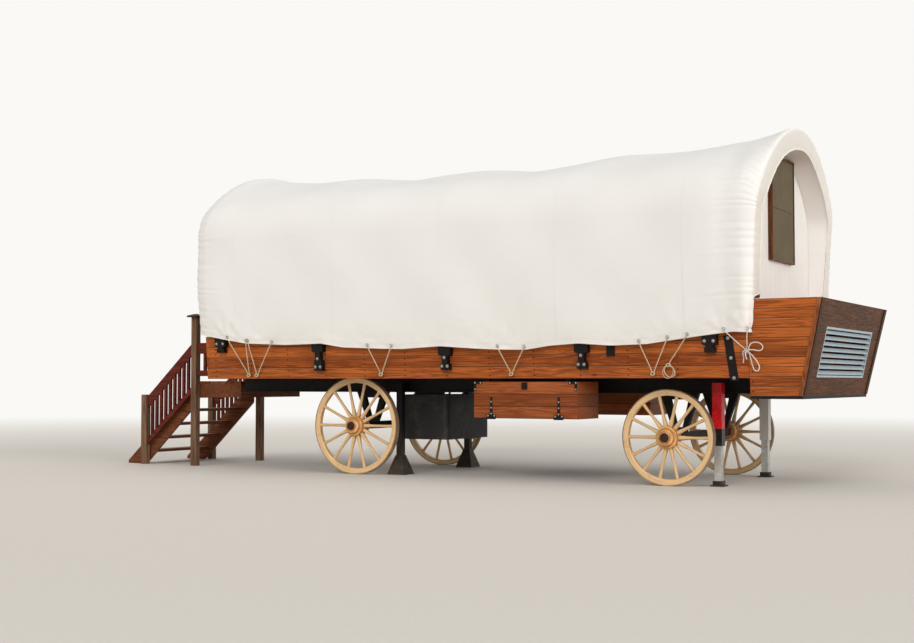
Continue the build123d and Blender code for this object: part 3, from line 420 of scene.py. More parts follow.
def laid_rope(name, base):
    """Cotton rope, laid in three strands: fuzz of 2.4 mm, and soil in patches of 40 mm."""
    made, tree, place = new_finish(name)
    fuzz = add(tree, NOISE, {"Vector": place, "Scale": 420, "Detail": 3, "Roughness": 0.6})
    soil = add(tree, NOISE, {"Vector": place, "Scale": 24, "Detail": 3, "Roughness": 0.6})
    tone = add(tree, MIX, {
        0: add(tree, RANGE, (fuzz, 0.3, 0.7), **SOFT), 6: shade(base, 0.72), 7: base}, **COLOURS)
    soiled = add(tree, RANGE, (soil, 0.5, 0.8, 0, 0.5), **SOFT)
    return shaded(made, {
        "Base Color": add(tree, MIX, {0: soiled, 6: tone, 7: shade(base, 0.5)}, **COLOURS),
        "Roughness": add(tree, RANGE, (fuzz, 0.3, 0.7, 0.85, 0.95), **SOFT),
        "Normal": add(tree, BUMP, {"Height": fuzz, "Distance": 0.0008})})


def pane(name, base, dust):
    """Float glass with a film of dust, in clouds 0.2 m wide."""
    made, tree, place = new_finish(name)
    film = add(tree, NOISE, {"Vector": place, "Scale": 5, "Detail": 5, "Roughness": 0.65})
    dusty = add(tree, RANGE, (film, 0.3, 0.8), **SOFT)
    return shaded(made, {
        "Base Color": add(tree, MIX, {0: dusty, 6: base, 7: dust}, **COLOURS),
        "Roughness": add(tree, RANGE, (film, 0.3, 0.8, 0.03, 0.16), **SOFT),
        "Transmission Weight": 0.7, "IOR": 1.45, "Specular IOR Level": 0.3})


def insect_screen(name, wire, dust):
    """Woven insect screen. Its mesh of 1.4 mm is too fine to show, so it is drawn as a film that lets
    some light through, matt, with clouds of dust."""
    made, tree, place = new_finish(name)
    film = add(tree, NOISE, {"Vector": place, "Scale": 3, "Detail": 4, "Roughness": 0.6})
    film = add(tree, RANGE, (film, 0.3, 0.8), **SOFT)
    return shaded(made, {
        "Base Color": add(tree, MIX, {0: film, 6: wire, 7: dust}, **COLOURS),
        "Alpha": 0.88, "Roughness": 0.9, "Specular IOR Level": 0.1})


def moulded(name, base):
    """Polyethylene, moulded: a pebbled matt surface, 4 mm from pebble to pebble, under dust."""
    made, tree, place = new_finish(name)
    pebble = add(tree, NOISE, {"Vector": place, "Scale": 260, "Detail": 2, "Roughness": 0.5})
    dust = add(tree, NOISE, {"Vector": place, "Scale": 4, "Detail": 4, "Roughness": 0.6})
    dust = add(tree, RANGE, (dust, 0.45, 0.8, 0, 0.35), **SOFT)
    return shaded(made, {
        "Base Color": add(tree, MIX, {0: dust, 6: base, 7: colour("6F6354")}, **COLOURS),
        "Roughness": add(tree, RANGE, (pebble, 0.3, 0.7, 0.55, 0.7), **SOFT),
        "Normal": add(tree, BUMP, {"Height": pebble, "Distance": 0.0004})})


# Where planks start, on the axis that they are stacked on, and their width
SIDE_PLANKS, BOX_PLANKS = (BOARD_BOTTOM, 0.1375), (1.01, 0.103)
TOOLBOX_PLANKS = (0.735, 0.1433)
LANDING_PLANKS = (at(-7.13), 0.1333)


def make_finishes():
    """Every finish by its name: what it is made of, how, and where it is."""
    scene = bpy.context.scene
    wood, iron, rope, cloth = scene.wagon_timber, scene.wagon_iron, scene.wagon_rope, scene.wagon_canvas
    light, dark = tuple(wood.board_light), tuple(wood.board_dark)
    stair = tuple(wood.stair_light), tuple(wood.stair_dark)
    # dusty is the colour of the boards' upper faces: dust, and a painted highlight of the light from above
    dusty, cap, sleeve, pale = colour("B98A63"), colour("2B1A12"), colour("141211"), colour("CFCBC2")
    nave_caps = ("Y", 1.2425, 1.4, cap), ("Y", -1.4, -1.2425, cap)
    rows = (     # a timber: light and dark, grain, planks, gloss, share of knots, colour of the upper faces (where lighter, partly a painted highlight)
        (timber, "stained pine side boards", light, dark, "X", ("Z", *SIDE_PLANKS), 0.42, 0.3, dusty),
        (timber, "stained pine end boards", light, dark, "Y", ("Z", *SIDE_PLANKS), 0.42, 0.3, dusty),
        (timber, "stained pine box sides", light, dark, "X", ("Z", *BOX_PLANKS), 0.36, 0.2, dusty),
        # painted shade: the box front and its corner stiles take darker stains than the box sides, as faces
        # out of the light
        (timber, "dark stained pine box front", colour("673A18"), colour("3A2210"), "Y",
         None, 0.5, 0, dusty),
        (timber, "stained pine corner strip", colour("A9683E"), colour("743F20"), "Z", None, 0.5),
        (timber, "stained pine corner stile", colour("50321C"), colour("321D10"), "Z", None, 0.5),
        (timber, "stained pine box top", light, dark, "Y", ("X", at(0.96), 0.14)),
        (timber, "stained pine toolbox", colour("AC5E33"), colour("783D1D"), "X",
         ("Z", *TOOLBOX_PLANKS), 0.42, 0.2, dusty),
        (timber, "varnished oak joinery", colour("7D4A2A"), colour("45260F"), "Z", None, 0.38),
        (timber, "varnished pine door", colour("9A5530"), colour("5E2F18"), "Z",
         ("Y", -0.38, 0.127), 0.34, 0.15),
        (timber, "planed spruce deck", colour("9C7450"), colour("5F4430"), "X", ("Y", 0, 0.14), 0.6),
        (timber, "steamed ash bow", colour("C19A66"), colour("84623B"), "Z", None, 0.5),
        (timber, "oiled larch landing", *stair, "Y", ("X", *LANDING_PLANKS), 0.55, 0, colour("A58569")),
        (timber, "oiled larch treads", *stair, "Y", None, 0.55, 0, colour("A58569")),
        (timber, "oiled larch stair sides", *stair, "X", None, 0.5, 0, colour("C29E7C")),
        # painted highlight: the rails' upper faces are much lighter, as lit tops
        (timber, "red stained pine rails", colour("7A3526"), colour("4A1C14"), "X",
         None, 0.45, 0, colour("D0A27C")),
        (timber, "weathered pine posts", colour("95745A"), colour("563F2D"), "Z",
         None, 0.6, 0, colour("4A3C31")),
        (timber, "weathered pine caps", colour("5A4A3E"), colour("2F2620"), "X",
         None, 0.6, 0, colour("51453B")),
        (shaved_timber, "shaved ash wheel", tuple(wood.wheel_light), tuple(wood.wheel_dark)),
        (shaved_timber, "turned elm nave", colour("D08A4A"), colour("8E4F22")),
        (painted_iron, "rolled iron tyre", colour("806652"), 0.5, 0.6, 0.5),
        (painted_iron, "painted iron nave band", colour("DDAA68"), 0.4, 0.3, 0.1, nave_caps),
        (painted_iron, "black painted iron", colour("0E0A08"), 0.5, 0.25, 0.06),
        (painted_iron, "black painted steel chassis", tuple(iron.black), 0.5, 0.2, 0.12),
        (painted_iron, "red painted steel leg", colour("C8151C"), 0.25, 0.12, 0.1, (
            ("Z", 0, 0.64, sleeve), ("Y", 0, 2, pale))),
        (painted_iron, "grey enamelled steel louvre", colour("AAB7BE"), 0.4, 0.04, 0.05, (), 0.06),
        (bare_metal, "galvanised steel leg", colour("C9C8C4"), 0.32, 60),
        (bare_metal, "zinc plated steel bolt", tuple(iron.bolt), 0.28, 300),
        (bare_metal, "brushed steel handle", colour("6E675F"), 0.3, 200),
        (wall_paint, "brushed paint wall", colour("ECEAE5"), colour("D8CBB2")),
        (duck, "woven cotton duck", tuple(cloth.canvas), tuple(cloth.soil)),
        (laid_rope, "laid cotton rope", tuple(rope.rope)),
        (laid_rope, "laid cotton tie", tuple(rope.tie)),
        (pane, "dusty float glass", colour("7A6A4C"), colour("94835F")),
        (insect_screen, "woven insect screen", colour("6B614E"), colour("766B55")),
        (moulded, "moulded polyethylene tank", colour("121212")),
    )
    return {name: make(name, *values) for make, name, *values in rows}


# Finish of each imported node; a node that isn't named here takes its slot's finish
NODE_FINISH = {
    "end_boards": "stained pine end boards", "front_box_sides": "stained pine box sides",
    "front_box_front": "dark stained pine box front", "front_box_top": "stained pine box top",
    "porch_boards": "oiled larch landing", "stair_stringers": "oiled larch stair sides",
    "stair_rails": "red stained pine rails", "newel_caps": "weathered pine caps",
}
for side in SIDES:
    NODE_FINISH |= {
        f"toolbox_{side}": "stained pine toolbox", f"toolbox_front_{side}": "stained pine toolbox"}
    for axle in ("front", "rear"):
        NODE_FINISH[f"hub_bands_{axle}_{side}"] = "painted iron nave band"
        NODE_FINISH[f"tyre_{axle}_{side}"] = "rolled iron tyre"
SLOT_FINISH = {
    "wheel_wood": "shaved ash wheel", "iron": "black painted iron",
    "chassis_black": "black painted steel chassis", "deck_wood": "planed spruce deck",
    "board_wood": "stained pine side boards", "canvas": "woven cotton duck",
    "bow_wood": "steamed ash bow", "wall_white": "brushed paint wall",
    "window_brown": "varnished oak joinery", "glass": "dusty float glass",
    "door_wood": "varnished pine door", "hardware": "brushed steel handle",
    "louvre_grey": "grey enamelled steel louvre", "stair_wood": "oiled larch treads",
    "post_wood": "weathered pine posts", "leg_red": "red painted steel leg",
    "leg_grey": "galvanised steel leg", "tank_black": "moulded polyethylene tank",
}
finishes = {}


# Meshes

def new_object(name, data):
    made = bpy.data.objects.new(name, data)
    bpy.context.scene.collection.objects.link(made)
    return made


def new_mesh(name, points, faces, smooth=True, maps=None, values=None):
    """A mesh from its points and faces. maps are UV maps by name, one pair for each point, and
    values are numbers by name, one for each point."""
    mesh = bpy.data.meshes.new(name)
    mesh.from_pydata([tuple(map(float, p)) for p in points], [], [tuple(map(int, f)) for f in faces])
    corners = np.empty(len(mesh.loops), dtype=np.int64)
    mesh.loops.foreach_get("vertex_index", corners)
    for key, pairs in (maps or {}).items():
        layer = mesh.uv_layers.new(name=key)
        layer.data.foreach_set("uv", np.asarray(pairs, dtype=float)[corners].ravel())
    for key, numbers in (values or {}).items():
        layer = mesh.attributes.new(key, "FLOAT", "POINT")
        layer.data.foreach_set("value", np.asarray(numbers, dtype=float).ravel())
    mesh.polygons.foreach_set("use_smooth", [smooth] * len(mesh.polygons))
    mesh.update()
    return mesh


def grid_faces(rows, columns, wrap=False):
    """Quads of a grid whose points run along each row."""
    faces = []
    for row in range(rows - 1):
        for column in range(columns if wrap else columns - 1):
            follow = (column + 1) % columns
            low, high = row * columns, (row + 1) * columns
            faces.append((low + column, low + follow, high + follow, high + column))
    return faces


def end_faces(rows, columns):
    """Faces that close the first and last row of a grid that goes round."""
    last = (rows - 1) * columns
    return [tuple(range(columns))[::-1], tuple(range(last, last + columns))]


def finished(piece, body, slot, *nodes, finish=None):
    """Gives a piece its body, hides the nodes that it stands for, and gives it the finish if one is named.
    slot is not used.
    """
    if finish:
        piece.data.materials.append(finishes[finish])
    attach(piece, body)
    if nodes:
        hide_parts(*nodes)
    return piece


def bars_mesh(name, bars, edge=0.003):
    """One mesh of bars with softened edges, each from the four corners of its foot and of its head."""
    maker = bmesh.new()
    for foot, head in bars:
        corners = [maker.verts.new(place) for place in (*foot, *head)]
        for face in ((3, 2, 1, 0), (4, 5, 6, 7), (0, 1, 5, 4), (1, 2, 6, 5), (2, 3, 7, 6), (3, 0, 4, 7)):
            maker.faces.new([corners[number] for number in face])
        edges = list({e for v in corners for e in v.link_edges})
        bmesh.ops.bevel(maker, geom=edges, offset=edge, segments=2, profile=0.5, affect="EDGES")
    bmesh.ops.recalc_face_normals(maker, faces=maker.faces)
    mesh = bpy.data.meshes.new(name)
    maker.to_mesh(mesh)
    maker.free()
    return mesh


def box_bar(low, high):
    """A straight bar, from its lowest to its highest corner."""
    ring = ((low[0], low[1]), (high[0], low[1]), (high[0], high[1]), (low[0], high[1]))
    return [[(x, y, z) for x, y in ring] for z in (low[2], high[2])]


# Geometry Nodes

def new_tree(name, *sockets):
    """A tree with a geometry in and out, and its other inputs from (kind, name, value) rows."""
    tree = bpy.data.node_groups.new(name, "GeometryNodeTree")
    for way in ("INPUT", "OUTPUT"):
        tree.interface.new_socket("Geometry", in_out=way, socket_type="NodeSocketGeometry")
    for kind, label, value in (*sockets, ("Material", "Finish", None)):
        socket = tree.interface.new_socket(label, in_out="INPUT", socket_type=f"NodeSocket{kind}")
        if value is not None:
            socket.default_value = value
    return tree, add(tree, "NodeGroupInput", (), None).outputs


def end_tree(tree, geometry, given):
    """Realizes the tree's instances and gives them their finish."""
    real = add(tree, "GeometryNodeRealizeInstances", (geometry,))
    done = add(tree, "GeometryNodeSetMaterial", {"Geometry": real, "Material": given["Finish"]})
    add(tree, "NodeGroupOutput", (done,), None)
    return tree


def end_at_points(tree, part, given):
    """Ends a tree with the part at each point, square to the surface that the point faces from."""
    way = add(tree, "GeometryNodeInputNamedAttribute", {"Name": "facing"}, data_type="FLOAT_VECTOR")
    turned = add(tree, "FunctionNodeAlignRotationToVector", {"Vector": way}, axis="Z")
    placed = add(tree, "GeometryNodeInstanceOnPoints", {
        "Points": given["Geometry"], "Instance": part, "Rotation": turned})
    return end_tree(tree, placed, given)


def fastener_tree():
    """A domed head on a washer at each point."""
    tree, given = new_tree(
        "Fasteners", ("Float", "Width", 0.026), ("Float", "Height", 0.009), ("Int", "Sides", 6))
    radius, half, thin = [
        add(tree, MATH, (given[size], share), operation="MULTIPLY")
        for size, share in (("Width", 0.5), ("Height", 0.5), ("Height", 0.3))]
    dome_r, washer_r = [
        add(tree, MATH, (radius, share), operation="MULTIPLY") for share in (0.8, 1.45)]
    head = add(tree, "GeometryNodeMeshCylinder", {
        "Vertices": given["Sides"], "Radius": radius, "Depth": given["Height"]})
    dome = add(tree, "GeometryNodeMeshUVSphere", {"Segments": 10, "Rings": 6, "Radius": dome_r})
    dome = add(tree, "GeometryNodeTransform", {
        "Geometry": dome, "Translation": add(tree, COMBINE, {"Z": half}), "Scale": (1, 1, 0.35)})
    washer = add(tree, "GeometryNodeMeshCylinder", {
        "Vertices": 14, "Radius": washer_r, "Depth": thin})
    whole = add(tree, "GeometryNodeJoinGeometry", (), None)
    for part in (head, dome, washer):
        tree.links.new(part, whole.inputs[0])
    return end_at_points(tree, whole.outputs[0], given)


def eyelet_tree():
    """A pressed metal ring at each point."""
    tree, given = new_tree("Eyelets", ("Float", "Width", 0.034), ("Float", "Thickness", 0.007))
    ring, section = [
        add(tree, "GeometryNodeCurvePrimitiveCircle", {
            "Resolution": corners, "Radius": add(tree, MATH, (given[size], share), operation="MULTIPLY")})
        for corners, size, share in ((20, "Width", 0.4), (8, "Thickness", 0.5))]
    ring = add(tree, "GeometryNodeCurveToMesh", {"Curve": ring, "Profile Curve": section})
    return end_at_points(tree, ring, given)


def wheel_tree():
    """Repeats one part round an axle that lies along Y, then puts it in its place."""
    tree, given = new_tree(
        "Round the axle", ("Int", "Count", 14), ("Float", "First", 0.5),
        ("Vector", "Centre", (0, 0, 0)), ("Float", "Turn", 0.0))
    points = add(tree, "GeometryNodePoints", {"Count": given["Count"]})
    index = add(tree, "GeometryNodeInputIndex")
    share = add(tree, MATH, (index, given["First"]), operation="ADD")
    share = add(tree, MATH, (share, given["Count"]), operation="DIVIDE")
    angle = add(tree, MATH, (share, 2 * math.pi), operation="MULTIPLY")
    spin, turn = [
        add(tree, "FunctionNodeEulerToRotation", (add(tree, COMBINE, {axis: value}),))
        for axis, value in (("Y", angle), ("Z", given["Turn"]))]
    placed = add(tree, "GeometryNodeInstanceOnPoints", {
        "Points": points, "Instance": given["Geometry"], "Rotation": spin})
    real = add(tree, "GeometryNodeRealizeInstances", (placed,))
    moved = add(tree, "GeometryNodeTransform", {
        "Geometry": real, "Translation": given["Centre"], "Rotation": turn})
    return end_tree(tree, moved, given)


def rope_tree():
    """Three twisted strands along a curve: a section with three lobes, turned once in each lay."""
    tree, given = new_tree(
        "Laid rope", ("Float", "Thickness", 0.014), ("Float", "Lay", 0.045), ("Float", "Step", 0.005))
    line = add(tree, "GeometryNodeResampleCurve", {
        "Curve": given["Geometry"], "Length": given["Step"]}, mode="LENGTH")
    run = add(tree, "GeometryNodeSplineParameter", out="Length")
    tilt = add(tree, MATH, (run, given["Lay"]), operation="DIVIDE")
    tilt = add(tree, MATH, (tilt, 2 * math.pi), operation="MULTIPLY")
    line = add(tree, "GeometryNodeSetCurveTilt", {"Curve": line, "Tilt": tilt})
    radius = add(tree, MATH, (given["Thickness"], 0.5), operation="MULTIPLY")
    corners, strands = 18, 3
    section = add(tree, "GeometryNodeCurvePrimitiveCircle", {"Resolution": corners, "Radius": radius})
    index = add(tree, "GeometryNodeInputIndex")
    lobe = add(tree, MATH, (index, strands * math.pi / corners), operation="MULTIPLY")
    lobe = add(tree, MATH, (lobe,), operation="COSINE")
    lobe = add(tree, MATH, (lobe,), operation="ABSOLUTE")
    size = add(tree, RANGE, (lobe, 0, 1, 0.74, 1.02), **SOFT)
    place = add(tree, "GeometryNodeInputPosition")
    place = add(tree, "ShaderNodeVectorMath", {0: place, "Scale": size}, operation="SCALE")
    section = add(tree, "GeometryNodeSetPosition", {"Geometry": section, "Position": place})
    mesh = add(tree, "GeometryNodeCurveToMesh", {
        "Curve": line, "Profile Curve": section, "Fill Caps": True})
    return end_tree(tree, add(tree, "GeometryNodeSetShadeSmooth", {"Geometry": mesh}), given)


def worked(source, tree, finish, **values):
    """The plain mesh that a tree makes from an object, which is then removed."""
    name, values = source.name, {"Finish": finishes[finish], **values}
    modifier = source.modifiers.new("Work", "NODES")
    modifier.node_group = tree
    for item in tree.interface.items_tree:
        if item.in_out == "INPUT" and item.name in values:
            modifier[item.identifier] = values[item.name]
    ready = source.evaluated_get(bpy.context.evaluated_depsgraph_get())
    mesh = bpy.data.meshes.new_from_object(ready)
    mesh.name = name
    bpy.data.objects.remove(source)
    return new_object(name, mesh)


def scattered(name, rows, tree, body, finish, slot, **values):
    """Small things at (place, facing) rows, as one plain mesh."""
    mesh = bpy.data.meshes.new(name)
    mesh.from_pydata([tuple(place) for place, _ in rows], [], [])
    layer = mesh.attributes.new("facing", "FLOAT_VECTOR", "POINT")
    layer.data.foreach_set("vector", np.asarray([tuple(way) for _, way in rows], dtype=float).ravel())
    return finished(worked(new_object(name, mesh), tree, finish, **values), body, slot)


# The bonnet's shape, as the solid has it

BULGE_Y, BULGE_Z = 1.650, 3.000
SKIRT_Y, SKIRT_Z = 1.556, 1.400
SHOULDER_R = 0.650
SIDE_R = ((BULGE_Z - SKIRT_Z) ** 2 + (BULGE_Y - SKIRT_Y) ** 2) / (2 * (BULGE_Y - SKIRT_Y))
LEAN_Z = 1.702
ROWS = (                 # station, lean in degrees, height of the crown, drawn in, share of the lip
    (-6.370, 0.0, 4.065, 0.072, 1.0),
    (-6.370, 0.0, 4.065, 0.072, 0.0),
    (-6.320, 0.0, 4.060, 0.038, 0.0),
    (-6.200, 0.0, 4.030, 0.010, 0.0),
    (-6.000, 0.0, 3.960, 0.000, 0.0),
    (-5.300, 0.0, 3.890, 0.000, 0.0),
    (-4.470, 0.0, 3.890, 0.000, 0.0),
    (-3.620, 0.0, 3.805, 0.000, 0.0),
    (-2.645, 0.0, 3.860, 0.000, 0.0),
    (-1.800, 0.0, 3.785, 0.000, 0.0),
    (-0.875, 0.0, 3.905, 0.000, 0.0),
    (-0.100, 0.0, 3.895, 0.000, 0.0),
    (0.630, 0.0, 3.945, 0.000, 0.0),
    (1.030, 0.0, 3.998, 0.000, 0.0),
    (1.054, 2.6, 4.062, 0.018, 0.0),
    (1.071, 3.7, 4.120, 0.048, 0.0),
    (1.082, 4.2, 4.148, 0.080, 0.0),
    (1.082, 4.2, 4.148, 0.080, 1.0),
)
REAR_LIP, FRONT_LIP = 0.170, 0.315
LIP_STEP_Z = (2.056, 2.120)
LIP_STEP_Y = 1.530
BOW_STATIONS = (-6.000, -4.470, -2.645, -0.875, 0.630, 1.000)
POCKETS = (              # station, foot and top of the casting that holds each bow
    (-6.000, 1.540, 1.745), (-4.470, 1.300, 1.665), (-2.645, 1.300, 1.610), (-0.875, 1.310, 1.620),
    (0.630, 1.480, 1.690),
)
HEM = (                  # station and height: the hem is drawn down at its lashings
    (-6.36, 1.790), (-5.97, 1.725), (-5.56, 1.660), (-4.95, 1.632), (-4.38, 1.645), (-4.07, 1.592),
    (-3.55, 1.570), (-3.20, 1.562), (-2.69, 1.590), (-2.20, 1.556), (-1.92, 1.542), (-1.57, 1.533),
    (-1.24, 1.578), (-0.89, 1.600), (-0.50, 1.570), (-0.08, 1.580), (0.15, 1.610), (0.54, 1.660),
    (0.90, 1.700), (1.12, 1.690),
)
LASHINGS = (             # station of the hook, its height, stations of the eyelets in the hem
    (-5.590, 1.245, (-5.850, -5.550)),
    (-5.460, 1.245, (-5.520, -5.140)),
    (-3.570, 1.250, (-3.700, -3.355)),
    (-1.785, 1.250, (-1.910, -1.565)),
    (-0.040, 1.250, (-0.160, 0.174)),
    (0.145, 1.345, (0.400,)),
)
TIE = (1.020, 1.490, (0.810, 1.070))     # the front tie's knot, without a hook
FLARE_BOTTOM, FLARE_TOP = (1.605, 1.010), (1.835, 2.040)   # station and height of the front box's face
SET_IN = 0.004           # how far the canvas lies inside the solid's face, without its folds
EYELET_UP = 0.035        # from the hem's edge to its eyelets
HOOK_OUT = 0.018         # from the boards to the middle of a hook

# The wheels and their parts, as the solids have them

AXLES = (("front", at(0), 1.080), ("rear", at(-4.160), 1.220))      # place, and diameter of its wheels
SPOKES, FELLOES = 14, 7
TYRE_THICK, FELLOE_DEEP, WHEEL_OUT = 0.010, 0.062, 1.114
SPOKE_FOOT, SPOKE_TENON = 0.100, 0.010      # where a spoke starts, and how far it goes into a felloe

# The window's casing: how far it stands out from the frame, its width and its lap over the frame

CASING_PROUD, CASING_WIDE, CASING_OVER = 0.045, 0.026, 0.0015

# What the bolts and screws go through, as the solids have it

POSTS, FIRST_POST, POST_PITCH = 13, -6.14, 0.58      # the frame behind the side boards
STRAP_FOOT, STRAP_RISE = (0.875, 1.175), (-0.06, 0.485)      # the side strap's foot, and from it to the top
LANDING_TOP, LANDING_JOIST = 1.1705, 0.666      # height, and from the middle joist to the outer ones
TOOLBOX_ENDS, TOOLBOX_TOP, HINGE_IN = (-2.300, -0.970), 1.165, 0.23
HINGE_FACE, CORNER_FACE = 1.4365, 1.4355        # half widths over the toolboxes' hinges and corner irons


def side_out(z):
    """Half width of the canvas at a height below its widest."""
    return BULGE_Y - SIDE_R + np.sqrt(SIDE_R ** 2 - (BULGE_Z - z) ** 2)


def board_out(z):
    """Half width over the side boards at a height."""
    return BOARD_OUT + (z - BOARD_BOTTOM) * BOARD_LEAN


def hem_height(station):
    """Height of the hem at a station."""
    return float(np.interp(station, *zip(*HEM)))


def step(sign, proud, up=0.0, ahead=0.0):
    """A step away from one side of the wagon, up and ahead."""
    return Vector((ahead, sign * proud, up))


def on_boards(sign, station, z, proud):
    """A place in front of the boards of one side."""
    return Vector((at(station), 0, z)) + step(sign, board_out(z) + proud)


def eyelet(sign, station):
    """The middle of an eyelet in the hem."""
    height = hem_height(station) + EYELET_UP
    return Vector((at(station), 0, height)) + step(sign, float(side_out(height)) + 0.010)


def half_section(hem_z, ridge_z, drawn, lip, share, counts):
    """Half width and height from the hem up to the ridge. drawn is how far the canvas is drawn in
    there, and share how far across the lip it is."""
    sides, shoulders, crowns = counts
    inset = drawn + (lip - drawn) * share
    z = np.linspace(hem_z, BULGE_Z, sides, endpoint=False)
    blend = np.clip((z - LIP_STEP_Z[0]) / (LIP_STEP_Z[1] - LIP_STEP_Z[0]), 0, 1)
    blend = blend * blend * (3 - 2 * blend)
    low_lip = np.maximum(side_out(z) - LIP_STEP_Y, drawn + 0.006)
    inner = low_lip + (lip - low_lip) * blend if lip > REAR_LIP else np.full_like(z, lip)
    y = side_out(z) - (drawn + (inner - drawn) * share)
    width, rise, shoulder = BULGE_Y - inset, ridge_z - inset - BULGE_Z, SHOULDER_R - inset
    top = ((width - shoulder) ** 2 + rise ** 2 - shoulder ** 2) / (2 * (rise - shoulder))
    centre_z = BULGE_Z + rise - top
    meet = math.atan2(BULGE_Z - centre_z, width - shoulder)
    turn = np.linspace(0, meet, shoulders, endpoint=False)
    over = np.linspace(meet, math.pi / 2, crowns)
    return (
        np.concatenate([y, width - shoulder + shoulder * np.cos(turn), top * np.cos(over)]),
        np.concatenate([z, BULGE_Z + shoulder * np.sin(turn), centre_z + top * np.sin(over)]))


def run_along(line):
    """Distance along a line, at each of its points."""
    return np.concatenate([[0], np.cumsum(np.linalg.norm(np.diff(line, axis=0), axis=1))])


def softened(values, places, reach):
    """Values smoothed along their places, with both ends held."""
    table = []
    for place in places:
        weight = np.exp(-((places - place) / reach) ** 2)
        table.append((weight * values).sum() / weight.sum())
    table[0], table[-1] = values[0], values[-1]
    return np.array(table)


def canvas_rows():
    """The bonnet's sections from lip to lip: (distance along the cut, row values)."""
    control = np.array(ROWS)
    lips = np.where(control[:, 0] < 0, REAR_LIP, FRONT_LIP)
    inset = control[:, 3] + (lips - control[:, 3]) * control[:, 4]
    run = run_along(np.stack([control[:, 0], inset], axis=1))
    fine = np.append(np.arange(0, run[-1], 0.006), run[-1])
    values = np.array([softened(np.interp(fine, run, column), fine, 0.022) for column in control.T])
    sag = softened(values[2], fine, 0.16)
    middle = np.clip((np.minimum(fine, run[-1] - fine) - 0.5) / 0.2, 0, 1)
    values[2] = values[2] + (sag - values[2]) * middle
    places, here = [0.0], 0.0
    while here < run[-1] - 0.012:
        end = min(here, run[-1] - here)
        here += 0.014 if end < 0.3 else 0.026 if end < 0.75 else 0.056
        places.append(min(here, run[-1]))
    places[-1] = run[-1]
    places = np.array(places)
    return places, np.array([np.interp(places, fine, column) for column in values]).T, run


def wander(rng, points, pitch, count=7):
    """A smooth random line, about -1 to 1, with features about a pitch long."""
    total = np.zeros_like(points)
    for _ in range(count):
        total += np.sin(points * 2 * math.pi / (pitch * rng.uniform(0.6, 1.9)) + rng.uniform(0, 6.28))
    return total / math.sqrt(count)


def canvas_grid(rows):
    """The bonnet's points without their folds, in rows from the rear lip to the front one."""
    counts = (92, 58, 74)        # points up each side, round each shoulder and over half the crown
    grid = []
    for station, lean, ridge, drawn, share in rows:
        lip = REAR_LIP if station < 0 else FRONT_LIP
        y, z = half_section(hem_height(station), ridge, drawn, lip, share, counts)
        y, z = np.concatenate([-y, y[-2::-1]]), np.concatenate([z, z[-2::-1]]) - LEAN_Z
        angle = math.radians(lean)
        grid.append(np.stack([
            at(station) + z * math.sin(angle), y, LEAN_Z + z * math.cos(angle)], axis=1))
    return np.array(grid)


def gather_folds(rng, settings, along, run, middle):
    """How far the drawn gathers stand out, behind each rim and on its lip."""
    folds = np.zeros_like(along)
    rims = (run[1], 0.34, 1), (run[-2], 0.46, -1)      # place, reach of its gathers, way to the middle
    for rim, back, way in rims:
        phase = middle / settings.gather_pitch + 0.42 * wander(rng, middle, 0.5)
        pillow = np.abs(np.sin(math.pi * phase)) ** 0.75 - 0.62
        reach = np.clip(back * (0.62 + 0.38 * wander(rng, middle, 0.23)), 0.14, None)
        away = (along - rim) * way            # positive behind the rim, negative on the lip
        fade = np.where(away > 0, np.exp(-(np.clip(away, 0, None) / reach) ** 2), 1.0)
        ramp = np.clip(1 + away / 0.10, 0.35, 1)      # the flat lip is drawn smoother than the rim
        folds += settings.gather_depth * pillow * fade * np.where(away > 0, 1.0, ramp)
    return folds


def sags(settings, stations):
    """How far the canvas stands out between its bows: less than 0, because it sinks there."""
    out = np.zeros_like(stations)
    for start, end in zip(BOW_STATIONS, BOW_STATIONS[1:]):
        share = np.clip((stations - start) / (end - start), 0, 1)
        out -= settings.sag_depth * np.sin(math.pi * share) ** 2
    return out


def creases(stations, heights):
    """Creases that fan out over each eyelet from 30 mm under the hem, at heights above the hem of
    either side."""
    under, deep, rays, reach, start = 0.03, 0.006, 11, 0.28, 0.05
    out = np.zeros_like(stations)
    for hook, _, eyelets in (*LASHINGS, TIE):
        for station, low in product(eyelets, heights):
            across, up = stations - station, low + under
            far, angle = np.hypot(across, up), np.arctan2(across, up)
            ray = deep * np.cos(rays * angle + hook)
            out += ray * np.exp(-far / reach) * (1 - np.exp(-far / start))
    return out


def swells(rng, along, shared):
    """Broad soft swells all over."""
    out = np.zeros_like(along)
    for _ in range(9):
        k_x, k_a = rng.uniform(1.2, 5.5), rng.uniform(1.0, 6.0)
        out += np.sin(along * k_x + rng.uniform(0, 6.28)) * np.sin(shared * k_a + rng.uniform(0, 6.28))
    return 0.0028 * out


def outward(grid):
    """The way out of the bonnet at each point of its grid."""
    normal = np.cross(np.gradient(grid, axis=1), np.gradient(grid, axis=0))
    normal /= np.linalg.norm(normal, axis=2, keepdims=True) + 1e-9
    row = len(grid) // 2
    if (normal[row] * (grid[row] - (at(-2.6), 0, 2.4))).sum() < 0:
        normal = -normal
    return normal


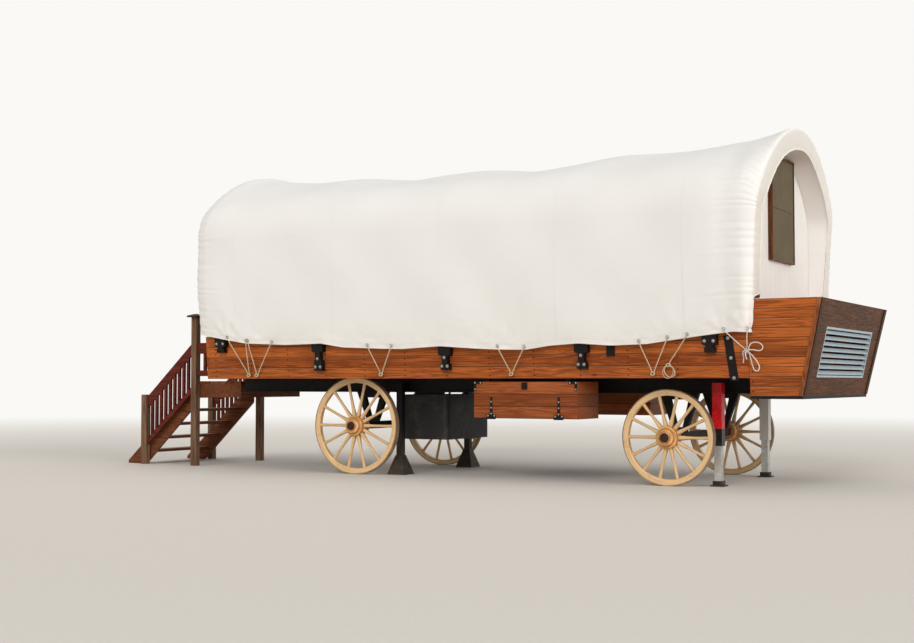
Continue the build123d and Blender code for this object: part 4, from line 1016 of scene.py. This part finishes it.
def make_canvas(settings):
    """The bonnet's mesh, its grid of points and the size that it was cut to."""
    places, rows, run = canvas_rows()
    grid = canvas_grid(rows)
    around = np.array([run_along(line) for line in grid])
    middle = around[len(grid) // 2]
    total = middle[-1]
    shared = np.broadcast_to(middle, around.shape)     # gathers run on from row to row
    along = np.broadcast_to(places[:, None], around.shape)
    stations = np.broadcast_to(rows[:, 0][:, None], around.shape)

    rng = np.random.default_rng(7)
    folds = gather_folds(rng, settings, along, run, middle)
    out = folds + sags(settings, stations) + creases(stations, (shared, total - shared))
    out += swells(rng, along, shared)
    grid = grid + outward(grid) * (out - SET_IN)[..., None]

    # The last 0.12 m above each hem stands off, by up to about 12 mm
    flared = np.clip(1 - shared / 0.12, 0, 1) + np.clip(1 - (total - shared) / 0.12, 0, 1)
    grid[..., 1] += np.sign(grid[..., 1]) * 0.006 * flared * (1 + wander(rng, along, 0.33))

    lip_share = np.where(rows[:, 0] > 0, np.clip(rows[:, 4] / 0.1, 0, 1), 0)
    # painted shade: the hollows of the gathers are darkened, the deeper the more
    painted_shade = np.clip(-folds / settings.gather_depth, 0, 1)
    painted_shade = np.maximum(painted_shade, lip_share[:, None])        # painted shade: the front lip is darkened as if out of the light
    edge = np.minimum(np.minimum(along, run[-1] - along), np.minimum(shared, total - shared))
    mesh = new_mesh(
        "canvas_bonnet", grid.reshape(-1, 3), grid_faces(*around.shape),
        maps={"cut": np.stack([along, around], axis=2).reshape(-1, 2)},
        values={"edge": edge.ravel(), "painted_shade": painted_shade.ravel()})
    return mesh, grid, (total, run[-1])


def make_soffit(line):
    """Canvas from the front lip's inner edge back to the wall, drawn in a little on its way. Each
    foot hangs straight down to the box's top."""
    wall, depth, drawn = at(0.962), 0.12, 0.925
    line = line[line[:, 2] > LIP_STEP_Z[1]]
    feet = line[[0, -1]] * (1, 1, 0) + (0, 0, LIP_STEP_Z[0] + 0.004)
    line = np.concatenate([feet[:1], line, feet[1:]])
    back = line * (0, drawn, 1) + (wall, 0, 0)
    steps = np.linspace(0, 1, 5)
    points = line + (back - line) * steps[:, None, None]
    pairs = np.stack(
        np.broadcast_arrays(depth * steps[:, None], run_along(line)), axis=2).reshape(-1, 2)
    return new_mesh(
        "lip_soffit", points.reshape(-1, 3), grid_faces(len(steps), len(line)), maps={"cut": pairs},
        values={"edge": np.full(len(pairs), 0.3), "painted_shade": np.zeros(len(pairs))})


def tube(points, radius, sides):
    """Points and faces of a tube along a line."""
    points = np.asarray(points, dtype=float)
    ahead = np.gradient(points, axis=0)
    ahead /= np.linalg.norm(ahead, axis=1, keepdims=True)
    side = np.cross(ahead, (0.02, 0.03, 1.0))      # off the vertical, which an upright line has no side to
    side /= np.linalg.norm(side, axis=1, keepdims=True) + 1e-9
    over = np.cross(side, ahead)
    turn = np.linspace(0, 2 * math.pi, sides, endpoint=False)[None, :, None]
    ring = points[:, None] + radius * (np.cos(turn) * side[:, None] + np.sin(turn) * over[:, None])
    faces = grid_faces(len(points), sides, wrap=True) + end_faces(len(points), sides)
    return ring.reshape(-1, 3), faces


def make_roll(name, line, radius):
    """A rolled edge of the canvas along a line."""
    sides, apart = 10, 0.006
    points, faces = tube(line, radius, sides)
    pairs = np.stack([
        np.repeat(run_along(line), sides), np.tile(np.arange(sides) * apart, len(line))], axis=1)
    # painted shade: each roll is darkened a little, evenly along it
    return new_mesh(
        name, points, faces, maps={"cut": pairs},
        values={"edge": np.full(len(points), 0.02), "painted_shade": np.full(len(points), 0.25)})


# Operators

class WAGON_OT_stage(bpy.types.Operator):
    """Makes the pale floor, the soft lamps, the sky and the camera"""
    bl_idname = "wagon.stage"
    bl_label = "Stage"

    def execute(self, context):
        settings = context.scene.wagon_stage
        context.scene.view_settings.view_transform = "Standard"
        lens = bpy.data.cameras.new("camera")
        lens.lens = 55
        lens.clip_end = 400
        camera = new_object("camera", lens)
        camera.location = (8.839, -15.933, 1.165)
        aim = Vector((-0.065, 0, 1.95)) - camera.location
        camera.rotation_euler = aim.to_track_quat("-Z", "Y").to_euler()
        context.scene.camera = camera
        self.make_floor(settings)
        context.scene.world = self.make_sky(settings)
        for name, way, strength, wide in (
                ("key", (0.1, -0.9, 0.5), settings.key, 28),
                ("fill", (0.95, -0.25, 0.25), settings.fill, 40)):
            lamp = bpy.data.lights.new(name, "SUN")
            lamp.energy = strength
            lamp.angle = math.radians(wide)
            holder = new_object(name, lamp)
            holder.rotation_euler = Vector(way).to_track_quat("Z", "Y").to_euler()
        return {"FINISHED"}

    def seen(self, tree):
        """1 for what the camera sees, straight or in gloss and glass, and 0 for the light itself."""
        rays = add(tree, "ShaderNodeLightPath", (), None).outputs
        seen = rays["Is Camera Ray"]
        for kind in ("Is Glossy Ray", "Is Transmission Ray"):
            seen = add(tree, MATH, (seen, rays[kind]), operation="MAXIMUM")
        return seen

    def make_floor(self, settings):
        """A wide matt floor that turns into the backdrop from 9 m to 34 m away."""
        half = 60
        corners = [(-half, -half, 0), (half, -half, 0), (half, half, 0), (-half, half, 0)]
        floor = new_object("floor", new_mesh("floor", corners, [(0, 1, 2, 3)]))
        made, tree, place = new_finish("matt studio paper")
        grit = add(tree, NOISE, {"Vector": place, "Scale": 30, "Detail": 4, "Roughness": 0.6})
        grit = add(tree, RANGE, (grit, 0.3, 0.7), **SOFT)
        tone = tuple(settings.floor)
        tone = add(tree, MIX, {0: grit, 6: shade(tone, 0.97), 7: tone}, **COLOURS)
        shader = add(tree, "ShaderNodeBsdfPrincipled", {"Base Color": tone, "Roughness": 0.9})
        far = add(tree, "ShaderNodeVectorMath", (place,), "Value", operation="LENGTH")
        away = add(tree, RANGE, (far, 9, 34), **SOFT)
        away = add(tree, MATH, (away, self.seen(tree)), operation="MULTIPLY")
        glow = add(tree, "ShaderNodeEmission", {"Color": settings.backdrop})
        mixed = add(tree, "ShaderNodeMixShader", (away, shader, glow))
        add(tree, "ShaderNodeOutputMaterial", {"Surface": mixed}, None)
        floor.data.materials.append(made)

    def make_sky(self, settings):
        """Light of one strength from all round, and the backdrop where the camera looks."""
        world = bpy.data.worlds.new("studio")
        world.use_nodes = True
        tree = world.node_tree
        tree.nodes.clear()
        light = add(tree, "ShaderNodeBackground", {"Color": (1, 1, 1), "Strength": settings.sky})
        plain = add(tree, "ShaderNodeBackground", {"Color": settings.backdrop, "Strength": 1.0})
        mixed = add(tree, "ShaderNodeMixShader", (self.seen(tree), light, plain))
        add(tree, "ShaderNodeOutputWorld", {"Surface": mixed}, None)
        return world


class WAGON_OT_finishes(bpy.types.Operator):
    """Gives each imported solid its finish"""
    bl_idname = "wagon.finishes"
    bl_label = "Finishes"

    def execute(self, context):
        finishes.update(make_finishes())
        slots = {row["node"]: row["material_slot"] for row in frame["record"]["subparts"]}
        for name, node in frame["nodes"].items():
            finish = finishes[NODE_FINISH.get(name, SLOT_FINISH[slots[name]])]
            if not node.data.materials:
                node.data.materials.append(finish)
            for number in range(len(node.data.materials)):
                node.data.materials[number] = finish
        return {"FINISHED"}


class WAGON_OT_bonnet(bpy.types.Operator):
    """Makes the gathered canvas and the rolled hems along its edges"""
    bl_idname = "wagon.bonnet"
    bl_label = "Canvas bonnet"

    def execute(self, context):
        mesh, grid, flat = make_canvas(context.scene.wagon_canvas)
        bonnet = self.canvas_piece("canvas_bonnet", mesh, "bonnet")
        for name, line, radius in (
                ("hem_roll_right", grid[:, 0], 0.008), ("hem_roll_left", grid[:, -1], 0.008),
                ("lip_roll_rear", grid[0], 0.011), ("lip_roll_front", grid[-1], 0.008)):
            self.canvas_piece(name, make_roll(name, line, radius))
        self.canvas_piece("lip_soffit", make_soffit(grid[-1]))
        return {"FINISHED"}

    def canvas_piece(self, name, mesh, *nodes):
        return finished(new_object(name, mesh), "wagon", "canvas", *nodes, finish="woven cotton duck")


class WAGON_OT_lashings(bpy.types.Operator):
    """Makes the ropes that draw the hem down to hooks on the boards, and the eyelets in the hem"""
    bl_idname = "wagon.lashings"
    bl_label = "Lashings"

    def execute(self, context):
        settings = context.scene.wagon_rope
        tree = rope_tree()
        for side, sign in SIDES.items():
            self.make_lashings(side, sign, tree, settings.thickness)
            self.make_coil(side, sign, tree, settings.thickness)
            self.make_tie(side, sign, tree, settings.tie_thickness)
        tops = [top for _, _, tops in (*LASHINGS, TIE) for top in tops]
        eyelets = [(eyelet(sign, top), (0, sign, -0.1)) for sign in SIDES.values() for top in tops]
        scattered("hem_eyelets", eyelets, eyelet_tree(), "wagon", "zinc plated steel bolt", "hardware",
                  Width=0.040, Thickness=0.008)
        self.make_hooks()
        return {"FINISHED"}

    def make_lashings(self, side, sign, tree, thickness):
        """Each rope from its eyelet down to its hook, and the turns wound outwards round the hook,
        five points to a turn."""
        ropes, knots = [], []
        for station, z, tops in LASHINGS:
            hook = on_boards(sign, station, z, HOOK_OUT)
            for number, top in enumerate(tops):
                eye = eyelet(sign, top)
                foot = hook + step(sign, 0, ahead=(number - 0.5) * 0.010)
                ropes.append([
                    eye - step(sign, 0.02), eye + step(sign, 0.004, -0.012),
                    (eye + hook) / 2 + step(sign, 0.006, -0.004),
                    foot + step(sign, 0.004, 0.012), foot + step(sign, 0.002, -0.02)])
            turns = []
            for number in range(11):
                angle = number * 2 * math.pi / 5
                turns.append(on_boards(sign, station, z, 0.022) + step(
                    sign, 0.002 + 0.0022 * number, 0.020 * math.sin(angle), 0.024 * math.cos(angle)))
            knots.append(turns)
        for name, routes, thick in (("lashings", ropes, thickness), ("knots", knots, thickness * 1.1)):
            line = self.line_curve(f"{name}_{side}", routes)
            finished(worked(line, tree, "laid cotton rope", Thickness=thick), "wagon", None)

    def make_coil(self, side, sign, tree, thickness):
        """The spare rope of the foremost lashing, which hangs from its hook in two turns."""
        station, z, _ = LASHINGS[-1]
        coil = [on_boards(sign, station, z, 0.010)]
        for number in range(17):
            angle = math.radians(90 + 45 * number)
            aside, tall = (-0.018, 0.078) if number < 8 else (0.024, 0.066)
            ahead = aside * (1 - math.sin(angle)) / 2 + 0.066 * math.cos(angle)
            coil.append(on_boards(
                sign, station + ahead, z - 0.070 + tall * math.sin(angle), 0.020 + 0.0014 * number))
        coil.append(on_boards(sign, station + 0.004, z + 0.006, 0.024))
        self.make_cord(f"coil_{side}", coil, tree, "laid cotton rope", thickness, "object")

    def make_tie(self, side, sign, tree, thickness):
        """The front tie: two ropes from the hem to one knot, each with a loop and a tail."""
        station, z, tops = TIE
        knot = on_boards(sign, station, z, 0.016)
        for top, name, rows in zip(tops, ("long", "short"), self.BOW_TIE):
            eye = eyelet(sign, top)
            line = [
                eye - step(sign, 0.012), eye + step(sign, 0.006, -0.012),
                (eye + knot) / 2 + step(sign, 0.006, -0.003)]
            line.extend(knot + step(sign, proud, up, ahead) for ahead, up, proud in rows)
            self.make_cord(f"tie_{name}_{side}", line, tree, "laid cotton tie", thickness, "bare")

    BOW_TIE = (          # ahead of the knot, above it and out from the board
        ((-0.016, 0.020, 0.002), (0.024, 0.000, 0.008), (0.014, -0.030, 0.016), (-0.022, -0.014, 0.022),
         (0.000, 0.026, 0.028), (0.034, 0.000, 0.028), (0.044, -0.050, 0.020), (0.060, -0.110, 0.014),
         (0.070, -0.164, 0.010), (0.090, -0.210, 0.010), (0.132, -0.216, 0.014), (0.152, -0.172, 0.020),
         (0.120, -0.104, 0.028), (0.068, -0.040, 0.036), (0.020, 0.000, 0.042), (-0.020, 0.004, 0.040),
         (-0.030, -0.030, 0.032), (-0.020, -0.070, 0.022), (-0.028, -0.126, 0.014)),
        ((0.012, 0.034, 0.008), (-0.010, 0.000, 0.018), (0.010, -0.026, 0.028), (0.034, 0.000, 0.036),
         (0.038, 0.044, 0.038), (0.062, 0.084, 0.036), (0.110, 0.094, 0.034), (0.160, 0.082, 0.032),
         (0.190, 0.050, 0.032), (0.186, 0.012, 0.036), (0.146, -0.002, 0.042), (0.094, 0.012, 0.046),
         (0.040, 0.012, 0.050), (0.004, -0.014, 0.050), (0.002, -0.054, 0.040), (0.014, -0.090, 0.030)),
    )

    def line_curve(self, name, routes):
        """Smooth lines near the points of each route."""
        curve = bpy.data.curves.new(name, "CURVE")
        curve.dimensions = "3D"
        for route in routes:
            spline = curve.splines.new("NURBS")
            spline.points.add(len(route) - 1)
            for point, spot in zip(spline.points, route):
                point.co = (*spot, 1)
            spline.order_u = 3
            spline.use_endpoint_u = True
        curve.resolution_u = 8
        return new_object(name, curve)

    def make_cord(self, name, route, tree, finish, thickness, far_end):
        """One rope with a free run, made along a smooth line through its route."""
        line = self.line_curve(name, [route])
        plain = bpy.data.meshes.new_from_object(
            line.evaluated_get(bpy.context.evaluated_depsgraph_get()))
        bpy.data.meshes.remove(plain)
        piece = finished(worked(line, tree, finish, Thickness=thickness), "wagon", None)

    def make_hooks(self):
        """Bent iron hooks, open upwards, each from inside its board."""
        bend, iron = 0.016, 0.0045
        points, faces = [], []
        for sign, (station, z, _) in product(SIDES.values(), LASHINGS):
            place = on_boards(sign, station, z, HOOK_OUT)
            line = [place - step(sign, 0.022, -0.002)]
            for number in range(13):
                angle = math.radians(-200 + number * 20)
                line.append(place + step(
                    sign, 0.006 + bend * math.cos(angle), bend * math.sin(angle) - 0.004))
            ring, quads = tube(line, iron, 8)
            base = len(points)
            points.extend(ring)
            faces.extend([tuple(base + corner for corner in quad) for quad in quads])
        hooks = new_object("rope_hooks", new_mesh("rope_hooks", points, faces))
        finished(hooks, "wagon", "iron", finish="black painted iron")


class WAGON_OT_wheels(bpy.types.Operator):
    """Makes the spokes, felloes and turned naves of the four wheels"""
    bl_idname = "wagon.wheels"
    bl_label = "Wheels"

    def spoke(self, inner_r):
        """One spoke up the Z axis: square-shouldered at the nave, oval in the middle, round at the end."""
        table = (        # distance from the axle, half width, half depth along the axle, squareness
            (SPOKE_FOOT, 0.0235, 0.028, 3.6),
            (0.150, 0.0235, 0.028, 3.4),
            (0.185, 0.0220, 0.027, 2.8),
            (0.230, 0.0185, 0.0245, 2.2),
            (inner_r * 0.62, 0.0165, 0.0210, 2.0),
            (inner_r - 0.09, 0.0170, 0.0195, 2.0),
            (inner_r - 0.03, 0.0195, 0.0200, 2.0),
            (inner_r - 0.012, 0.0200, 0.0200, 2.0),
            (inner_r + SPOKE_TENON, 0.0200, 0.0200, 2.0),
        )
        sides, points, pairs = 14, [], []
        heights = np.unique(np.concatenate([
            np.linspace(SPOKE_FOOT, 0.24, 8), np.linspace(0.24, inner_r - 0.10, 6),
            np.linspace(inner_r - 0.09, inner_r + SPOKE_TENON, 7)]))
        columns = list(zip(*table))
        for height in heights:
            wide, deep, square = [float(np.interp(height, columns[0], column)) for column in columns[1:]]
            for number in range(sides):
                angle = 2 * math.pi * number / sides
                c, s = math.cos(angle), math.sin(angle)
                points.append((
                    wide * math.copysign(abs(c) ** (2 / square), c),
                    deep * math.copysign(abs(s) ** (2 / square), s), height))
                pairs.append((height, angle * 0.02))
        return new_mesh("spoke", points, grid_faces(len(heights), sides, wrap=True), maps={"grain": pairs})

    def felloe(self, rim_r, count):
        """One bent length of the rim, with its inner corners taken off between the spokes."""
        half, inner, steps = 0.034, rim_r - FELLOE_DEEP, 17
        reach = math.pi / count - 0.0012 / rim_r
        points, pairs = [], []
        for step in range(steps):
            share = step / (steps - 1)
            angle = -reach + 2 * reach * share
            # Round the corners more between the spokes than where a spoke or a joint needs the wood
            soft = 0.007 + 0.009 * (0.5 - 0.5 * math.cos(share * 4 * math.pi))
            one_side = [
                (half, rim_r), (half, inner + soft), (half - soft * 0.3, inner + soft * 0.3),
                (half - soft, inner)]
            section = [one_side[0], *[(-y, radius) for y, radius in one_side], *one_side[:0:-1]]
            across = 0
            for number, (y, radius) in enumerate(section):
                points.append((radius * math.sin(angle), y, radius * math.cos(angle)))
                if number:
                    across += math.hypot(y - section[number - 1][0], radius - section[number - 1][1])
                pairs.append((angle * rim_r + 5, across))
        faces = grid_faces(steps, len(section), wrap=True) + end_faces(steps, len(section))
        return new_mesh("felloe", points, faces, smooth=False, maps={"grain": pairs})

    def nave(self):
        """The turned nave, with a groove each side of its spoke mortises."""
        outline = (      # along the axle, outwards, and radius
            (-0.165, 0.033), (-0.165, 0.084), (-0.161, 0.0885), (-0.120, 0.1035), (-0.085, 0.1155),
            (-0.070, 0.1190), (-0.066, 0.1160), (-0.062, 0.1190), (-0.052, 0.1245), (-0.030, 0.1255),
            (0.030, 0.1255), (0.048, 0.1245), (0.056, 0.1205), (0.060, 0.1170), (0.064, 0.1195),
            (0.066, 0.1185), (0.084, 0.1050), (0.096, 0.0965), (0.108, 0.0880), (0.128, 0.0735),
            (0.128, 0.033),
        )
        sides, points, pairs = 48, [], []
        for along, radius in outline:
            for number in range(sides):
                angle = 2 * math.pi * number / sides
                points.append((radius * math.cos(angle), -along, radius * math.sin(angle)))
                pairs.append((along, angle * 0.12))
        return new_mesh("nave", points, grid_faces(len(outline), sides, wrap=True), maps={"grain": pairs})

    def execute(self, context):
        tree = wheel_tree()
        for axle, x, diameter in AXLES:
            rim_r = diameter / 2 - TYRE_THICK
            for side, sign in SIDES.items():
                for part, mesh, count, first, finish in (
                        ("spokes", self.spoke(rim_r - FELLOE_DEEP), SPOKES, 0.5, "shaved ash wheel"),
                        ("felloes", self.felloe(rim_r, FELLOES), FELLOES, 0.5, "shaved ash wheel"),
                        ("nave", self.nave(), 1, 0.0, "turned elm nave")):
                    piece = worked(
                        new_object(f"{part}_{axle}_{side}", mesh), tree, finish, Count=count, First=first,
                        Centre=(x, sign * WHEEL_OUT, diameter / 2), Turn=0.0 if sign < 0 else math.pi)
                    finished(piece, f"{axle}_wheel_{side}", "wheel_wood", f"wheel_{axle}_{side}")
        return {"FINISHED"}


class WAGON_OT_fastenings(bpy.types.Operator):
    """Puts in the bolts and screws that show"""
    bl_idname = "wagon.fastenings"
    bl_label = "Bolts and screws"

    def execute(self, context):
        settings = context.scene.wagon_iron
        tree = fastener_tree()
        screw = {"Width": settings.screw_width, "Height": 0.003, "Sides": 12}
        scattered("frame_bolts", self.frame_bolts(), tree, "wagon", "zinc plated steel bolt", "hardware",
                  Width=settings.bolt_width, Height=0.011, Sides=6)
        scattered("board_screws", self.board_screws(), tree, "wagon", "black painted iron", "iron", **screw)
        scattered("landing_screws", self.landing_screws(), tree, "wagon", "zinc plated steel bolt",
                  "hardware", **screw)
        for side, sign in SIDES.items():
            scattered(f"toolbox_bolts_{side}", self.toolbox_bolts(sign), tree, f"toolbox_flap_{side}",
                      "zinc plated steel bolt", "hardware", Width=0.014, Height=0.006, Sides=8)
        return {"FINISHED"}

    def off_boards(self, sign):
        """The way that the side boards face."""
        return Vector((0, sign, -BOARD_LEAN)).normalized()

    def frame_bolts(self):
        """Through the castings of the bows, and along the side strap, which leans back as it rises."""
        rows = []
        for sign in SIDES.values():
            out = self.off_boards(sign)
            for station, foot, top in POCKETS:
                spots = ((-0.050, top - 0.090), (0.050, top - 0.090))
                if top - foot > 0.25:
                    spots = ((-0.036, foot + 0.048), (0.036, foot + 0.048), (0, foot + 0.150))
                for shift, z in spots:
                    rows.append(((at(station + shift), sign * (float(side_out(z)) - 0.020), z), out))
            for share in (0.06, 0.5, 0.94):
                station, z = [foot + rise * share for foot, rise in zip(STRAP_FOOT, STRAP_RISE)]
                rows.append((on_boards(sign, station, z, 0.007), out))
        return rows

    def board_screws(self):
        """Two in each side plank at each of the frame's posts, and one in each plank of the front box."""
        rows = []
        for sign in SIDES.values():
            out = self.off_boards(sign)
            for post, plank, rise in product(range(POSTS), range(4), (0.035, 0.1025)):
                z = SIDE_PLANKS[0] + SIDE_PLANKS[1] * plank + rise
                rows.append((on_boards(sign, FIRST_POST + POST_PITCH * post, z, 0.001), out))
            for plank in range(10):
                z = BOX_PLANKS[0] + BOX_PLANKS[1] * plank + 0.05
                rows.append((on_boards(sign, 1.075, z, 0.001), out))
        return rows

    def landing_screws(self):
        """Two in each board of the landing, at each of its three joists."""
        start, width = LANDING_PLANKS
        joists = (-LANDING_JOIST, 0, LANDING_JOIST)
        return [
            ((start + width * (plank + 0.5) + shift, y, LANDING_TOP), (0, 0, 1))
            for plank, y, shift in product(range(6), joists, (-0.035, 0.035))]

    def toolbox_bolts(self, sign):
        """Through the hinges and corner irons of a toolbox's front."""
        rows = []
        for end, way in zip(map(at, TOOLBOX_ENDS), (1, -1)):
            hinge = end + way * HINGE_IN
            hinge_spots = [
                *[(hinge, z) for z in (0.79, 0.86, 0.93)],
                *[(hinge + shift, 0.765) for shift in (-0.042, 0.042)]]
            corner_spots = [
                (end + way * along, TOOLBOX_TOP - drop)
                for along, drop in ((0.015, 0.015), (0.09, 0.015), (0.015, 0.09))]
            for face, spots in ((HINGE_FACE, hinge_spots), (CORNER_FACE, corner_spots)):
                rows.extend([((x, sign * face, z), (0, sign, 0)) for x, z in spots])
        return rows


class WAGON_OT_corners(bpy.types.Operator):
    """Makes the strips and stiles that cover the front box's leaning corners"""
    bl_idname = "wagon.corners"
    bl_label = "Front box corners"

    def execute(self, context):
        # the stiles' finish is darker, as painted shade on the front face
        for name, finish, ahead, across in (
                ("corner_strips", "stained pine corner strip", (-0.046, 0.0), (-0.004, 0.007)),
                ("corner_stiles", "stained pine corner stile", (-0.004, 0.012), (-0.105, -0.006))):
            ring = [(ahead[number], across[row]) for number, row in ((0, 0), (1, 0), (1, 1), (0, 1))]
            bars = []
            for sign in SIDES.values():
                ends = []
                for (station, height), trim in ((FLARE_BOTTOM, 0.002), (FLARE_TOP, -0.002)):
                    z = height + trim
                    ends.append([(at(station) + x, sign * (board_out(z) + y), z) for x, y in ring])
                bars.append(ends)
            piece = new_object(name, bars_mesh(name, bars))
            finished(piece, "wagon", "board_wood", finish=finish)
        return {"FINISHED"}


class WAGON_OT_window(bpy.types.Operator):
    """Makes the window's proud casing and the insect screen in it"""
    bl_idname = "wagon.window"
    bl_label = "Window casing and screen"

    def execute(self, context):
        low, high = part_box("window_frame")
        back, front = low.x + 0.06, high.x + CASING_PROUD
        inner = CASING_WIDE - CASING_OVER - 0.002
        middle = (low.z + high.z) / 2
        casing = []
        for y in (low.y - CASING_OVER, high.y + CASING_OVER - CASING_WIDE):
            casing.append(box_bar(
                (back, y, low.z - CASING_OVER), (front, y + CASING_WIDE, high.z + CASING_OVER)))
        for foot, head, depth in (
                (low.z - CASING_OVER, low.z - CASING_OVER + CASING_WIDE, (back, front - 0.002)),
                (high.z + CASING_OVER - CASING_WIDE, high.z + CASING_OVER, (back, front - 0.002)),
                (middle - 0.010, middle + 0.010, (front - 0.018, front - 0.005))):
            casing.append(box_bar((depth[0], low.y + inner, foot), (depth[1], high.y - inner, head)))
        screen = [box_bar(
            (front - 0.012, low.y + inner, low.z + inner), (front - 0.010, high.y - inner, high.z - inner))]
        finished(new_object("window_casing", bars_mesh("window_casing", casing)), "wagon",
                 "window_brown", finish="varnished oak joinery")
        finished(new_object("window_screen", bars_mesh("window_screen", screen, 0.0005)), "wagon",
                 None, finish="woven insect screen")
        return {"FINISHED"}


STEPS = (
    WAGON_OT_stage, WAGON_OT_finishes, WAGON_OT_bonnet, WAGON_OT_lashings, WAGON_OT_wheels,
    WAGON_OT_fastenings, WAGON_OT_corners, WAGON_OT_window,
)
SETTINGS = {
    "wagon_canvas": WagonCanvasSettings, "wagon_timber": WagonTimberSettings,
    "wagon_rope": WagonRopeSettings, "wagon_iron": WagonIronSettings,
    "wagon_stage": WagonStageSettings,
}


class WAGON_PT_panel(bpy.types.Panel):
    """Lists the wagon's settings and the steps that dress it"""
    bl_label = "Covered wagon"
    bl_space_type = "VIEW_3D"
    bl_region_type = "UI"
    bl_category = "Wagon"

    def draw(self, context):
        for key, kind in SETTINGS.items():
            column = self.layout.column(heading=key)
            for name in kind.__annotations__:
                column.prop(getattr(context.scene, key), name)
        for step in STEPS:
            self.layout.operator(step.bl_idname)


def register():
    for kind in (*SETTINGS.values(), *STEPS, WAGON_PT_panel):
        bpy.utils.register_class(kind)
    for key, kind in SETTINGS.items():
        setattr(bpy.types.Scene, key, bpy.props.PointerProperty(type=kind))


def unregister():
    for key in SETTINGS:
        delattr(bpy.types.Scene, key)
    for kind in reversed((*SETTINGS.values(), *STEPS, WAGON_PT_panel)):
        bpy.utils.unregister_class(kind)


def main():
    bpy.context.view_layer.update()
    register()
    for step in STEPS:
        group, name = step.bl_idname.split(".")
        getattr(getattr(bpy.ops, group), name)()


if __name__ == "__main__":
    main()
